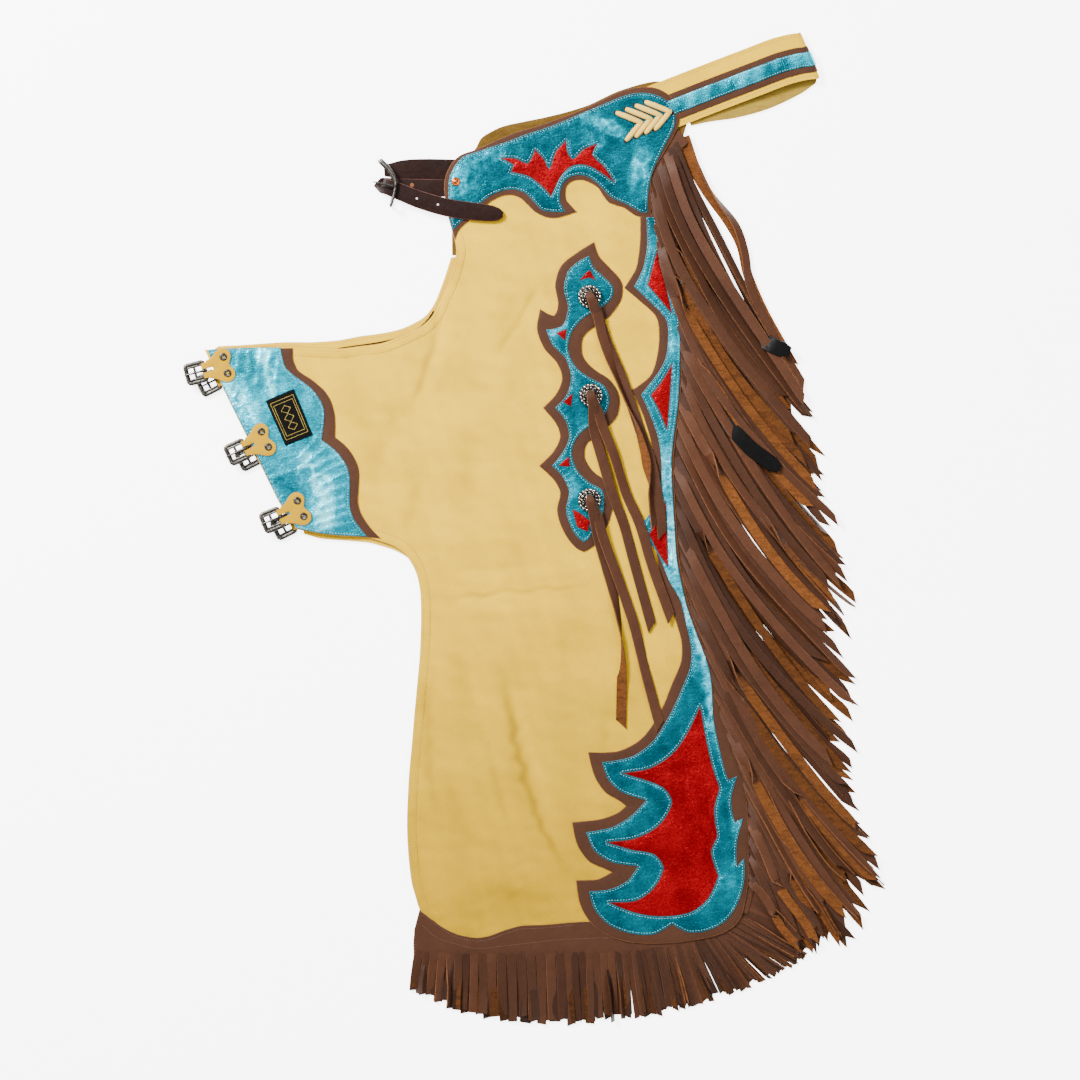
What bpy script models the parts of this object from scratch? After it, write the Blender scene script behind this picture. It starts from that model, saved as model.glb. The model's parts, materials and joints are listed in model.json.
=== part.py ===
"""A pair of western leather chaps, folded in half at the waist and laid flat.

The wearer's left leg lies on top, face up, and the right leg lies under it, face down.
+X runs from the front edge to the fringed outer edge, +Y from the hem to the belt.
"""

import math
import random
from collections import namedtuple

import bmesh
import bpy
import numpy as np
from mathutils import Vector
from mathutils.geometry import delaunay_2d_cdt

# Flat patterns are drawn on a cutting grid, across from the left and down from the top.
GRID = 0.0011
CENTRE_ACROSS = 532.9
CENTRE_DOWN = 527.7
MM = 0.001

# Thicknesses and the stack of layers above the floor, in millimetres.
GAP = 0.3
LEG = 2.0
BACKING = 1.0
FOIL = 1.0
INLAY = 0.7
UNDER_TOP = 3.0
LEG_BASE = UNDER_TOP + GAP
LEG_TOP = LEG_BASE + LEG
BACKING_BASE = LEG_TOP + GAP
FOIL_BASE = BACKING_BASE + BACKING + GAP
FOIL_TOP = FOIL_BASE + FOIL
TRIM_BASE = FOIL_TOP + GAP

# Fringe strands, in millimetres.
STRAND_THICK = 1.1
STRAND_LANE = 1.45

# Wing buckles, in millimetres.
WIRE = 1.3
BUCKLE_LONG = 20.5
BUCKLE_HALF = 10.2
PLAY = 0.35
PRONG_THICK = 1.1

SHARP = "sharp"
Fold = namedtuple("Fold", "across1 down1 across2 down2 half_width height")

# Soft rises and creases of the upper leg. Heights are in millimetres.
FOLDS = (
    Fold(505, 330, 500, 480, 75, 3.2),
    Fold(500, 660, 490, 860, 70, 3.0),
    Fold(575, 760, 560, 860, 40, 1.2),
    Fold(440, 592, 590, 588, 13, -1.6),
    Fold(509, 696, 530, 800, 15, -1.4),
    Fold(430, 318, 418, 375, 12, -0.9),
    Fold(537, 290, 503, 350, 13, -1.2),
)
# The wing of the upper leg rides over the lower leg's buckles.
WING_EDGE = Fold(205, 350, 295, 528, 66, 2.6)

COLOURS = {
    "tan_leather": ((0.72, 0.53, 0.23), 0.55, 0.0),
    "brown_leather": ((0.13, 0.055, 0.032), 0.6, 0.0),
    "suede": ((0.30, 0.16, 0.02), 0.9, 0.0),
    "teal_foil": ((0.0, 0.33, 0.48), 0.3, 0.8),
    "red_foil": ((0.5, 0.0, 0.005), 0.3, 0.8),
    "strap_leather": ((0.03, 0.008, 0.006), 0.35, 0.0),
    "lace_leather": ((0.78, 0.58, 0.30), 0.6, 0.0),
    "black_leather": ((0.008, 0.008, 0.008), 0.5, 0.0),
    "nickel": ((0.6, 0.58, 0.55), 0.25, 1.0),
    "copper": ((0.6, 0.2, 0.06), 0.3, 1.0),
}


def clear_scene():
    for obj in list(bpy.data.objects):
        bpy.data.objects.remove(obj)


def material(name):
    found = bpy.data.materials.get(name)
    if found:
        return found
    colour, roughness, metallic = COLOURS[name]
    made = bpy.data.materials.new(name)
    made.use_nodes = True
    shader = made.node_tree.nodes["Principled BSDF"]
    shader.inputs["Base Color"].default_value = (*colour, 1.0)
    shader.inputs["Roughness"].default_value = roughness
    shader.inputs["Metallic"].default_value = metallic
    return made


def at(across, down, height=0.0):
    """World point of a place on the cutting grid, at a height in millimetres."""
    return Vector(((across - CENTRE_ACROSS) * GRID, (CENTRE_DOWN - down) * GRID, height * MM))


def solid(name, points, faces, material_name, smooth=False):
    """A closed mesh object from world points and faces, its faces turned outwards."""
    mesh = bpy.data.meshes.new(name)
    mesh.from_pydata([tuple(p) for p in points], [], faces)
    work = bmesh.new()
    work.from_mesh(mesh)
    bmesh.ops.recalc_face_normals(work, faces=work.faces)
    work.to_mesh(mesh)
    work.free()
    if smooth:
        mesh.shade_smooth()
        mesh.set_sharp_from_angle(angle=math.radians(40))
    mesh.materials.append(material(material_name))
    obj = bpy.data.objects.new(name, mesh)
    bpy.context.scene.collection.objects.link(obj)
    return obj


def joined(target, *others):
    """Fuses the other objects into the target. They stay in the scene as hidden helpers."""
    for other in others:
        union = target.modifiers.new("union", "BOOLEAN")
        union.operation = "UNION"
        union.solver = "EXACT"
        union.object = other
        other.hide_render = True
        other.display_type = "WIRE"
    return target


def curve_through(before, start, end, after, count):
    """Points of a Catmull-Rom span from start towards end, without the end itself."""
    found = []
    for i in range(count):
        t = i / count
        a = 2 * start
        b = end - before
        c = 2 * before - 5 * start + 4 * end - after
        d = 3 * start - before - 3 * end + after
        found.append(0.5 * (a + b * t + c * t * t + d * t * t * t))
    return found


def flow(knots, step=12.0, closed=True):
    """A line through grid knots, smooth at all but the sharp ones, with a point each step or less."""
    places = [Vector(knot[:2]) for knot in knots]
    sharp = [len(knot) > 2 for knot in knots]
    size = len(places)
    line = []
    for i in range(size if closed else size - 1):
        start, end = places[i], places[(i + 1) % size]
        first = sharp[i] or (not closed and i == 0)
        last = sharp[(i + 1) % size] or (not closed and i == size - 2)
        before = 2 * start - end if first else places[i - 1]
        after = 2 * end - start if last else places[(i + 2) % size]
        reach = (end - start).length
        if not first:
            before = start + (before - start) * min(1.0, reach / max((before - start).length, 1e-6))
        if not last:
            after = end + (after - end) * min(1.0, reach / max((after - end).length, 1e-6))
        line += curve_through(before, start, end, after, max(1, math.ceil(reach / step)))
    if not closed:
        line.append(places[-1])
    return line


def grown(loop, distance):
    """A closed loop moved outwards by a distance in grid steps, corners included."""
    size = len(loop)
    area = sum(loop[i - 1].x * loop[i].y - loop[i].x * loop[i - 1].y for i in range(size))
    side = 1.0 if area > 0 else -1.0
    found = []
    for i in range(size):
        ahead = (loop[(i + 1) % size] - loop[i]).normalized()
        behind = (loop[i] - loop[i - 1]).normalized()
        normal = Vector((ahead.y + behind.y, -ahead.x - behind.x))
        stretch = max(normal.length_squared / 2, 0.4)
        found.append(loop[i] + normal * (side * distance / stretch))
    return found


def covered(places, loops):
    """Which grid places lie inside the first loop and outside the others, by the even-odd rule."""
    inside = np.zeros(len(places), bool)
    x, y = places[:, 0], places[:, 1]
    for loop in loops:
        corners = np.array([tuple(p) for p in loop])
        for (x1, y1), (x2, y2) in zip(corners, np.roll(corners, -1, axis=0)):
            if y1 == y2:
                continue
            crosses = (y1 > y) != (y2 > y)
            inside ^= crosses & (x < x1 + (y - y1) * (x2 - x1) / (y2 - y1))
    return inside


def inner_places(loops, spacing):
    """A triangular lattice of grid places well inside the loops."""
    rim = np.array([tuple(p) for loop in loops for p in loop])
    low, high = rim.min(axis=0), rim.max(axis=0)
    rise = spacing * math.sqrt(3) / 2
    rows = []
    for j in range(int((high[1] - low[1]) / rise) + 1):
        shift = spacing / 2 if j % 2 else 0.0
        for i in range(int((high[0] - low[0]) / spacing) + 1):
            rows.append((low[0] + shift + (i + 0.5) * spacing, low[1] + (j + 0.5) * rise))
    if not rows:
        return []
    places = np.array(rows)
    places = places[covered(places, loops)]
    if not len(places):
        return []
    nearest = np.linalg.norm(places[:, None, :] - rim[None, :, :], axis=2).min(axis=1)
    return [Vector(p) for p in places[nearest > 0.55 * spacing]]


def smoothstep(t):
    t = min(max(t, 0.0), 1.0)
    return t * t * (3 - 2 * t)


def along(fold, place):
    """How far along a fold a grid place is, from 0 to 1, and how far it is from the fold's line."""
    start, end = Vector(fold[:2]), Vector(fold[2:4])
    line = end - start
    t = (place - start).dot(line) / line.length_squared
    foot = start + line * min(max(t, 0.0), 1.0)
    return t, (place - foot).length


def lift(place):
    """Height of the upper leg's layers above where they would lie quite flat, in millimetres."""
    total = 0.0
    for fold in FOLDS:
        away = along(fold, place)[1]
        total += fold.height * math.exp(-((away / fold.half_width) ** 2))
    away = along(WING_EDGE, place)[1]
    total += WING_EDGE.height * smoothstep(1 - (away - 8) / WING_EDGE.half_width)
    return max(total, 0.0)


def flat(place):
    return 0.0


def sheet(name, outline, material_name, base, thick, spacing, holes=(), raised=lift, extra=()):
    """A wall of leather cut to a grid outline: its underside at base, in millimetres, plus its lift."""
    loops = [outline, *holes]
    places, edges = [], []
    for loop in loops:
        first = len(places)
        places += loop
        edges += [(first + i, first + (i + 1) % len(loop)) for i in range(len(loop))]
    places = places + inner_places(loops, spacing) + list(extra)
    plane, _, triangles, _, _, _ = delaunay_2d_cdt(places, edges, [], 0, 1e-4)
    middles = np.array([tuple(sum((plane[i] for i in t), Vector((0, 0))) / 3) for t in triangles])
    kept = covered(middles, loops)
    triangles = [tuple(t) for t, keep in zip(triangles, kept) if keep]
    used = sorted({i for t in triangles for i in t})
    index = {old: new for new, old in enumerate(used)}
    triangles = [tuple(index[i] for i in t) for t in triangles]
    under = [at(plane[i].x, plane[i].y, base + raised(plane[i])) for i in used]
    over = [at(plane[i].x, plane[i].y, base + thick + raised(plane[i])) for i in used]
    count = len(used)
    faces = [t[::-1] for t in triangles]
    faces += [tuple(i + count for i in t) for t in triangles]
    sides = {}
    for t in triangles:
        for i in range(3):
            sides[(t[i], t[(i + 1) % 3])] = True
    faces += [(a, b, b + count, a + count) for a, b in sides if (b, a) not in sides]
    return solid(name, under + over, faces, material_name)


Section = namedtuple("Section", "centre across width thick")


def corners_of(section, heading):
    normal = heading.cross(section.across).normalized()
    half = section.across.normalized() * (section.width / 2)
    rise = normal * (section.thick / 2)
    return [
        section.centre - half - rise,
        section.centre + half - rise,
        section.centre + half + rise,
        section.centre - half + rise,
    ]


def strap(name, sections, material_name):
    """A flat strap through sections: centre, direction across, width and thickness, in metres."""
    points, faces = [], []
    last = len(sections) - 1
    for i, section in enumerate(sections):
        heading = sections[min(i + 1, last)].centre - sections[max(i - 1, 0)].centre
        points += corners_of(section, heading)
    for i in range(last):
        for j in range(4):
            k = (j + 1) % 4
            faces.append((4 * i + j, 4 * i + k, 4 * i + 4 + k, 4 * i + 4 + j))
    faces += [(3, 2, 1, 0), tuple(4 * last + j for j in range(4))]
    return solid(name, points, faces, material_name)


def tube(name, points, radius, material_name, sides=6, closed=False, up=(0, 0, 1)):
    """A round bar along points. A closed one is a ring, and up is across the plane it bends in."""
    rings, faces = [], []
    size = len(points)
    up = Vector(up)
    for i, point in enumerate(points):
        ahead = points[(i + 1) % size] if closed or i < size - 1 else point
        behind = points[i - 1] if closed or i else point
        heading = (ahead - behind).normalized()
        side = heading.cross(up).normalized()
        rise = side.cross(heading).normalized()
        into = (point - behind).normalized() if (point - behind).length else heading
        stretch = 1.0 / max(abs(heading.dot(into)), 0.7)
        for j in range(sides):
            angle = 2 * math.pi * (j + 0.5) / sides
            spread = side * math.cos(angle) * stretch + rise * math.sin(angle)
            rings.append(point + spread * radius)
    for i in range(size if closed else size - 1):
        below, above = i * sides, ((i + 1) % size) * sides
        for j in range(sides):
            k = (j + 1) % sides
            faces.append((below + j, below + k, above + k, above + j))
    if not closed:
        faces.append(tuple(reversed(range(sides))))
        faces.append(tuple((size - 1) * sides + j for j in range(sides)))
    return solid(name, rings, faces, material_name, smooth=True)


def turned(name, centre, profile, sides, material_name, scallop=0.0):
    """A turned piece on an upright axis, from (radius, height) rows in metres, bottom to top."""
    points, faces = [], []
    rows = len(profile)
    for radius, height in profile:
        for j in range(sides):
            angle = 2 * math.pi * j / sides
            wave = 1 + scallop * (1 if j % 2 else -1)
            reach = radius * wave
            points.append(centre + Vector((reach * math.cos(angle), reach * math.sin(angle), height)))
    for i in range(rows - 1):
        for j in range(sides):
            k = (j + 1) % sides
            faces.append((i * sides + j, i * sides + k, (i + 1) * sides + k, (i + 1) * sides + j))
    faces.append(tuple(reversed(range(sides))))
    faces.append(tuple((rows - 1) * sides + j for j in range(sides)))
    return solid(name, points, faces, material_name, smooth=True)


# The legs: front edge, wing, hem and outer edge
EDGE_STEP = 18.0
WIDE_SPACING = 200
UNDER_INSET = 2.0
WING_ROWS = (12, 26, 42, 58, 74)
OUTER_EDGE = (
    (650, 218), (655, 248), (664, 270), (670, 292), (674, 316), (674.5, 342), (674, 380),
    (671.5, 413), (668, 438), (666, 462), (667, 492), (669, 526), (672, 560), (677, 583),
    (682, 607), (690, 629), (699, 650), (705, 671), (709, 695), (717, 724), (732, 760),
    (741, 800), (744, 850), (742, 885), (735, 915, SHARP),
)
HEM_EDGE = (
    (690, 925), (640, 928), (591, 922), (544, 925), (521, 926), (503, 931), (488, 936.5),
    (477, 938), (456, 934), (436, 923), (420, 910, SHARP),
)
FRONT_EDGE = (
    (412, 884), (408, 850), (407, 820), (409, 775), (411.7, 746), (414.6, 711), (417.5, 681),
    (420, 652), (421, 617), (420, 590), (415, 570), (404, 553), (393, 546), (368, 538),
    (344, 537), (320, 534), (296, 529, SHARP), (279, 502), (245, 433), (220, 382),
    (205, 350, SHARP), (245, 347), (293, 346.5), (340, 348.5), (360, 346), (382, 343),
    (403, 335), (423, 325), (432, 316), (440, 300), (446, 287), (452, 270), (456, 253),
    (455, 242, SHARP),
)
LEFT_WAIST = (
    (451, 222), (463, 202, SHARP), (463, 171, SHARP), (467, 160), (490, 148), (520, 137),
    (560, 123), (603, 106, SHARP), (603, 162, SHARP), (650, 168, SHARP),
)
RIGHT_FRONT = (
    (415, 884), (412, 850), (411, 820), (413, 775), (416, 746), (419, 711), (422, 681),
    (425, 652), (426, 617), (425, 590), (419, 572), (408, 558), (396, 551), (370, 543),
    (320, 538.5), (304, 534, SHARP), (301, 524), (264, 455), (224, 381), (211, 352, SHARP),
    (218, 346, SHARP), (240, 345), (285, 342), (311, 342), (339, 340), (360, 336), (382, 333),
    (403, 328), (425, 316), (436, 300), (447, 270), (451, 257, SHARP),
)
RIGHT_YOKE = (
    (452, 255, SHARP), (452, 230), (455, 200), (455, 160, SHARP), (474, 150, SHARP), (481, 138),
    (500, 127), (520, 122), (540, 118), (565, 112), (590, 104), (615, 92), (640, 84), (655, 81),
    (668, 82, SHARP), (687, 124, SHARP), (680, 145), (662, 175), (653, 205), (653, 255, SHARP),
)


def crease_places():
    """Extra grid places along the creases and the wing's rise, so that the leg's facets follow them."""
    start, end = Vector(WING_EDGE[:2]), Vector(WING_EDGE[2:4])
    line = end - start
    inwards = Vector((line.y, -line.x)).normalized()
    found = [start + line * (i / 9) + inwards * away for i in range(1, 9) for away in WING_ROWS]
    for fold in FOLDS:
        if fold.height > 0:
            continue
        start, end = Vector(fold[:2]), Vector(fold[2:4])
        line = end - start
        side = Vector((-line.y, line.x)).normalized() * fold.half_width
        for i in range(1, 7):
            foot = start + line * (i / 7)
            found += [foot, foot + side, foot - side]
    return found


def make_legs():
    outline = flow(OUTER_EDGE + HEM_EDGE + FRONT_EDGE + LEFT_WAIST, EDGE_STEP)
    sheet("left_leg", outline, "tan_leather", LEG_BASE, LEG, 42, extra=crease_places())
    under_outer = tuple((k[0] - UNDER_INSET, *k[1:]) for k in OUTER_EDGE if k[1] > 255)
    outline = flow(((651, 257, SHARP),) + under_outer + HEM_EDGE + RIGHT_FRONT, EDGE_STEP)
    sheet("right_leg", outline, "tan_leather", 0.0, UNDER_TOP, WIDE_SPACING, raised=flat)
    sheet("right_yoke", flow(RIGHT_YOKE, EDGE_STEP), "suede", 0.0, UNDER_TOP, WIDE_SPACING, raised=flat)


# The yoke: brown backing, teal top and a red flame let into it
YOKE_BORDER = (
    (455, 240, SHARP), (448, 216), (444.5, 194), (445, 178), (452, 163), (461, 155), (475, 150),
    (514, 133), (538, 126), (581, 110), (619, 92), (634, 88), (646, 87), (658, 89), (670, 96),
    (677, 106), (680, 115), (678, 127), (665, 151), (656, 166), (651.5, 178), (651, 194),
    (651, 217, SHARP), (636, 216), (624, 208), (608, 202), (598, 188), (588, 182), (580, 180),
    (571, 182), (566, 188), (566, 199), (577, 212, SHARP), (557, 218), (545, 217), (535, 212),
    (520, 198), (511, 195), (502, 196), (487, 204), (470, 220), (460, 229),
)
YOKE_TOP = (
    (453, 230, SHARP), (449, 214), (448.5, 190), (449, 180), (454, 168), (463, 157), (480, 151),
    (504, 143), (528, 134), (552, 126), (590, 110), (626, 95.5), (643, 93), (658, 96), (670, 104),
    (675, 115), (674, 127), (659, 157), (651, 176), (648, 196), (647, 213, SHARP), (640, 212),
    (626, 204), (612, 198), (598, 184), (588, 177), (579, 175), (568, 178), (561, 188), (560, 202),
    (565, 212, SHARP), (552, 212), (542, 210), (526, 194), (516, 190), (506, 190), (490, 196),
    (470, 213),
)
YOKE_FLAME = (
    (500, 158, SHARP), (516, 159), (528, 164), (535, 150, SHARP), (544, 160), (549, 170),
    (556, 152), (566, 141, SHARP), (567, 152), (573, 160), (583, 150), (597, 144, SHARP),
    (592, 155), (603, 166), (615, 183, SHARP), (600, 172), (586, 165), (572, 166), (561, 176),
    (551, 196, SHARP), (542, 186), (528, 176), (511, 172, SHARP), (514, 165),
)
LACE_FIRST = ((616, 113), (641, 123), (626, 141))
LACE_STEP = (9.6, -3.6)
LACE_WIDTH = 4.6
RIVET_PLACE = (456, 182)


def make_yoke():
    border = flow(YOKE_BORDER, 12)
    sheet("left_yoke_border", border, "brown_leather", BACKING_BASE, BACKING, 30)
    flame = flow(YOKE_FLAME, 9)
    holes = [grown(flame, 0.4)]
    sheet("left_yoke", flow(YOKE_TOP, 12), "teal_foil", FOIL_BASE, FOIL, 30, holes)
    sheet("left_yoke_flame", flame, "red_foil", FOIL_BASE, INLAY, 20)
    for i in range(4):
        bent = [Vector(p) + Vector(LACE_STEP) * i for p in LACE_FIRST]
        first = (bent[1] - bent[0]).normalized() * (LACE_WIDTH / 2)
        second = (bent[2] - bent[1]).normalized() * (LACE_WIDTH / 2)
        left = Vector((first.y, -first.x))
        right = Vector((second.y, -second.x))
        corner = (left + right) * (1 / (1 + left.normalized().dot(right.normalized())))
        outline = [bent[0] + left, bent[1] + corner, bent[2] + right]
        outline += [bent[2] - right, bent[1] - corner, bent[0] - left]
        sheet(f"lacing_{i + 1}", outline, "lace_leather", TRIM_BASE, 1.5, 40)
    head = ((4.6, 0.0), (4.6, 0.5), (3.4, 1.3), (1.4, 1.6))
    profile = [(r * MM, h * MM) for r, h in head]
    turned("front_rivet", at(*RIVET_PLACE, TRIM_BASE), profile, 16, "copper")


# The band down the outer edge and the flame scroll at its foot
BAND_BORDER = (
    (640, 219.5, SHARP), (640, 240), (636, 268), (624, 288, SHARP), (643, 304), (656, 317),
    (659, 333), (657, 356), (650, 376), (632, 390, SHARP), (642, 413), (650, 438), (657, 469),
    (658, 500), (655, 540), (660, 572), (672, 610), (681, 640), (681, 661), (673, 681),
    (660, 712), (642, 738), (618, 751), (588, 752, SHARP), (594, 775), (606, 793),
    (626, 806), (604, 818), (572, 822, SHARP), (577, 844), (590, 862), (612, 872), (598, 879),
    (576, 880, SHARP), (580, 904), (592, 924), (614, 938), (640, 943), (668, 943), (694, 940),
    (720, 934), (738, 922), (745, 902),
    (749, 870), (748.5, 830), (745, 790), (738, 758), (724, 724), (716, 693), (713, 669),
    (706, 648), (697, 627), (689, 605), (683.5, 581), (679, 558), (676.5, 526), (674.5, 492),
    (673.5, 460), (676, 436), (679, 413), (681.5, 379), (682, 340), (681.5, 315), (677.5, 290),
    (671.5, 268), (662, 246), (658, 219.5, SHARP),
)
BAND_TOP = (
    (646.5, 221, SHARP), (647, 245), (643, 268), (634, 287, SHARP), (652, 304), (666, 320),
    (668, 338), (666, 356), (660, 370), (641, 395, SHARP), (650, 415), (658, 438), (661, 460),
    (661, 488), (657, 503), (641, 525, SHARP), (650, 542), (659, 556), (669, 581), (680, 600),
    (686, 624), (691, 648), (690, 667), (682, 688), (670, 714), (652, 742), (630, 757),
    (602, 762, SHARP), (608, 779), (622, 792), (646, 800, SHARP), (632, 815), (612, 827),
    (586, 832, SHARP), (594, 850), (612, 862), (638, 866, SHARP), (628, 880), (610, 889),
    (589, 891, SHARP), (594, 908), (608, 924), (630, 933), (654, 934), (672, 924, SHARP),
    (688, 932), (708, 930), (726, 920), (738, 902), (744, 880), (744, 858, SHARP), (737, 866),
    (737, 842), (743, 818, SHARP), (735, 822), (731, 800), (737, 776, SHARP), (728, 780),
    (718, 742), (713, 715), (712, 690), (709, 669), (702, 648), (694, 627), (686.5, 605),
    (681, 581), (677, 560), (674.5, 526), (672.5, 492), (671.5, 460), (673.5, 438), (677, 413),
    (679.5, 379), (680, 340), (679, 315), (675, 290), (668.5, 268), (660, 245), (656, 221, SHARP),
)
DIAMONDS = (
    ((657, 250, SHARP), (672, 314, SHARP), (659, 298), (648, 285, SHARP)),
    ((672, 364, SHARP), (667, 430, SHARP), (659, 410), (651, 395, SHARP), (662, 381)),
    ((665.5, 500, SHARP), (668, 567, SHARP), (657, 550), (649, 534, SHARP), (659, 519)),
)
FLAME_CORE = (
    (700, 706, SHARP), (706, 740), (712, 766), (719, 788, SHARP), (714, 810), (717, 836, SHARP),
    (711, 852), (718, 876, SHARP), (708, 898), (690, 912), (660, 916), (634, 912),
    (608, 902, SHARP), (634, 901), (652, 890), (664, 868), (654, 854), (634, 850),
    (606, 842, SHARP), (636, 838), (660, 824), (672, 802), (664, 788), (646, 780),
    (622, 773, SHARP), (650, 768), (674, 752), (690, 728),
)


def make_band():
    border = flow(BAND_BORDER, 16)
    sheet("left_band_border", border, "brown_leather", BACKING_BASE, BACKING, 40)
    reds = [flow(knots, 20) for knots in DIAMONDS]
    core = flow(FLAME_CORE, 14)
    holes = [grown(loop, 0.4) for loop in reds + [core]]
    sheet("left_band", flow(BAND_TOP, 15), "teal_foil", FOIL_BASE, FOIL, 40, holes)
    for i, loop in enumerate(reds):
        sheet(f"band_diamond_{i + 1}", loop, "red_foil", FOIL_BASE, INLAY, 40)
    sheet("flame_core", core, "red_foil", FOIL_BASE, INLAY, 40)


# The patch under the conchos, and the conchos with their ties
PATCH_BORDER = (
    (594, 242, SHARP), (599, 256), (612, 270), (622, 283), (621, 300), (608, 318), (594, 327),
    (583, 338), (583, 356), (594, 369), (610, 380), (619, 396), (617, 416), (602, 432),
    (587, 444), (585, 458), (594, 472), (607, 482), (613, 500), (609, 522), (598, 541),
    (584, 552), (571, 543), (561, 526), (557, 510), (560, 492), (552, 478), (539, 466, SHARP),
    (553, 452), (560, 437), (556, 424), (543, 408, SHARP), (556, 394), (562, 378), (556, 362),
    (545, 350), (537, 330), (540, 309, SHARP), (554, 316), (558, 303), (555, 286), (561, 266),
    (578, 252),
)
PATCH_TOP = (
    (589, 256, SHARP), (594, 268), (606, 279), (613, 288), (611, 299), (599, 309), (585, 317),
    (573, 330), (568, 348), (575, 366), (590, 378), (603, 385), (609, 397), (606, 412),
    (592, 424), (578, 436), (572, 452), (577, 470), (590, 483), (602, 490), (604, 503),
    (601, 519), (592, 534), (584, 542), (575, 534), (568, 520), (566, 508), (569, 492),
    (562, 476), (552, 466, SHARP), (563, 452), (569, 437), (565, 420), (555, 408, SHARP),
    (566, 396), (571, 378), (565, 358), (553, 346), (546, 330, SHARP), (562, 326), (568, 308),
    (564, 288), (569, 270), (581, 260),
)
CONCHOS = ((589.5, 297), (591, 395.5), (589.5, 500))
CONCHO_RADIUS = 12.6
CONCHO_DOME = ((1.0, 0.0), (1.0, 0.6), (0.8, 1.4), (0.55, 2.6), (0.3, 3.4), (0.1, 3.6))
KNOT_RADIUS = 6.5
KNOT_HEIGHT = 3.4
TIE_WIDTH = 10.0
TIE_THICK = 1.3
TIE_TIP = 0.35
Tie = namedtuple("Tie", "concho route")
HIGH = TRIM_BASE + 0.8
LOW = LEG_TOP + 1.1
TIES = (
    Tie(0, ((590, 298, HIGH), (603, 331, HIGH), (620, 373, LOW + 1), (639, 430, LOW),
            (650, 462, HIGH), (658, 504, HIGH), (661, 534, HIGH))),
    Tie(0, ((590, 298, HIGH + 1.6), (600, 335, HIGH + 2), (612, 375, HIGH + 2), (630, 425, HIGH),
            (641, 462, HIGH + 1.6), (649, 500, HIGH + 2), (654, 525, HIGH + 2))),
    Tie(1, ((591, 397, HIGH), (593, 430, HIGH), (603, 462, HIGH), (612, 493, HIGH),
            (624, 525, LOW), (633, 560, LOW), (651, 626, LOW))),
    Tie(1, ((591, 397, HIGH + 1.6), (599, 425, HIGH + 2), (612, 455, HIGH + 1), (624, 493, HIGH - 0.4),
            (639, 525, HIGH), (650, 560, HIGH), (670, 618, HIGH))),
    Tie(2, ((590, 501, HIGH), (598, 537, HIGH), (606, 565, LOW), (619, 625, LOW),
            (620, 724, LOW))),
    Tie(2, ((590, 501, HIGH + 1.6), (602, 540, HIGH + 2), (615, 575, LOW + 1.8), (634, 625, LOW + 0.6),
            (660, 725, LOW + 1))),
)


def strap_along(name, route, step=24.0):
    """One end of a tie, lying along grid places with heights and narrow at its tip."""
    line = [Vector(p) for p in route]
    spaced = []
    for i in range(len(line) - 1):
        before = line[i - 1] if i else 2 * line[0] - line[1]
        after = line[i + 2] if i + 2 < len(line) else 2 * line[-1] - line[-2]
        count = max(1, math.ceil((line[i + 1] - line[i]).length / step))
        spaced += curve_through(before, line[i], line[i + 1], after, count)
    spaced.append(line[-1])
    sections = []
    for i, point in enumerate(spaced):
        heading = spaced[min(i + 1, len(spaced) - 1)] - spaced[max(i - 1, 0)]
        across = Vector((heading.y, heading.x, 0)).normalized()
        size = TIE_WIDTH * (TIE_TIP if i == len(spaced) - 1 else 1.0)
        sections.append(Section(at(*point), across, size * MM, TIE_THICK * MM))
    return strap(name, sections, "brown_leather")


def make_patch():
    sheet("patch_border", flow(PATCH_BORDER, 9), "brown_leather", BACKING_BASE, BACKING, 24)
    sheet("patch", flow(PATCH_TOP, 9), "teal_foil", FOIL_BASE, FOIL, 24)
    for i, place in enumerate(CONCHOS):
        ends = [tie for tie in TIES if tie.concho == i]
        raise_by = lift(Vector(place))
        strips = []
        for j, tie in enumerate(ends):
            route = [(x, y, z + lift(Vector((x, y)))) for x, y, z in tie.route]
            name = f"tie_{i + 1}" if j == 0 else f"tie_{i + 1}_end"
            strips.append(strap_along(name, route))
        under = TRIM_BASE + raise_by
        knot_profile = [(KNOT_RADIUS * MM, 0.0), (KNOT_RADIUS * MM, KNOT_HEIGHT * MM)]
        knot = turned(f"tie_{i + 1}_knot", at(*place, under), knot_profile, 12, "brown_leather")
        joined(strips[0], strips[1], knot)
        profile = [(CONCHO_RADIUS * r * MM, h * MM) for r, h in CONCHO_DOME]
        seat = at(*place, under + KNOT_HEIGHT + GAP)
        turned(f"concho_{i + 1}", seat, profile, 20, "nickel", scallop=0.02)


# The wing at the back of the thigh, its label, tabs and buckles
WING_BORDER = (
    (209, 351, SHARP), (245, 349), (293, 348, SHARP), (293, 358), (298, 370), (311, 379),
    (324, 390), (331, 401), (335, 416), (335, 437, SHARP), (346, 446), (354, 457), (359, 470),
    (359, 485), (358, 502), (361, 513), (370, 527), (381, 538.5, SHARP), (344, 535), (320, 532),
    (297, 527, SHARP), (281, 502), (247, 433), (222, 382),
)
WING_TOP = (
    (208, 350, SHARP), (245, 348), (281, 347.5, SHARP), (282, 355), (286, 368), (299, 379),
    (311, 388), (319, 398), (324, 409), (324, 422), (322, 440, SHARP), (335, 450), (344, 461),
    (349, 472), (350, 487), (350, 506), (354, 519), (367, 536.5, SHARP), (344, 535.5), (320, 533),
    (296.5, 528, SHARP), (280, 502), (246, 433), (221, 382),
)
LABEL = ((266, 401), (294, 389), (313, 435), (286, 446))
OUTWARD = Vector((-0.893, 0.451))
Tab = namedtuple("Tab", "across down out_across out_down")
TABS = (
    Tab(223.5, 366, -0.967, 0.255),
    Tab(263, 440.5, -0.908, 0.418),
    Tab(298.5, 509.5, -0.925, 0.380),
)
TAB_BAR = 18.6
TAB_BASE = TRIM_BASE + WING_EDGE.height
TAB_THICK = 1.4
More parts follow.
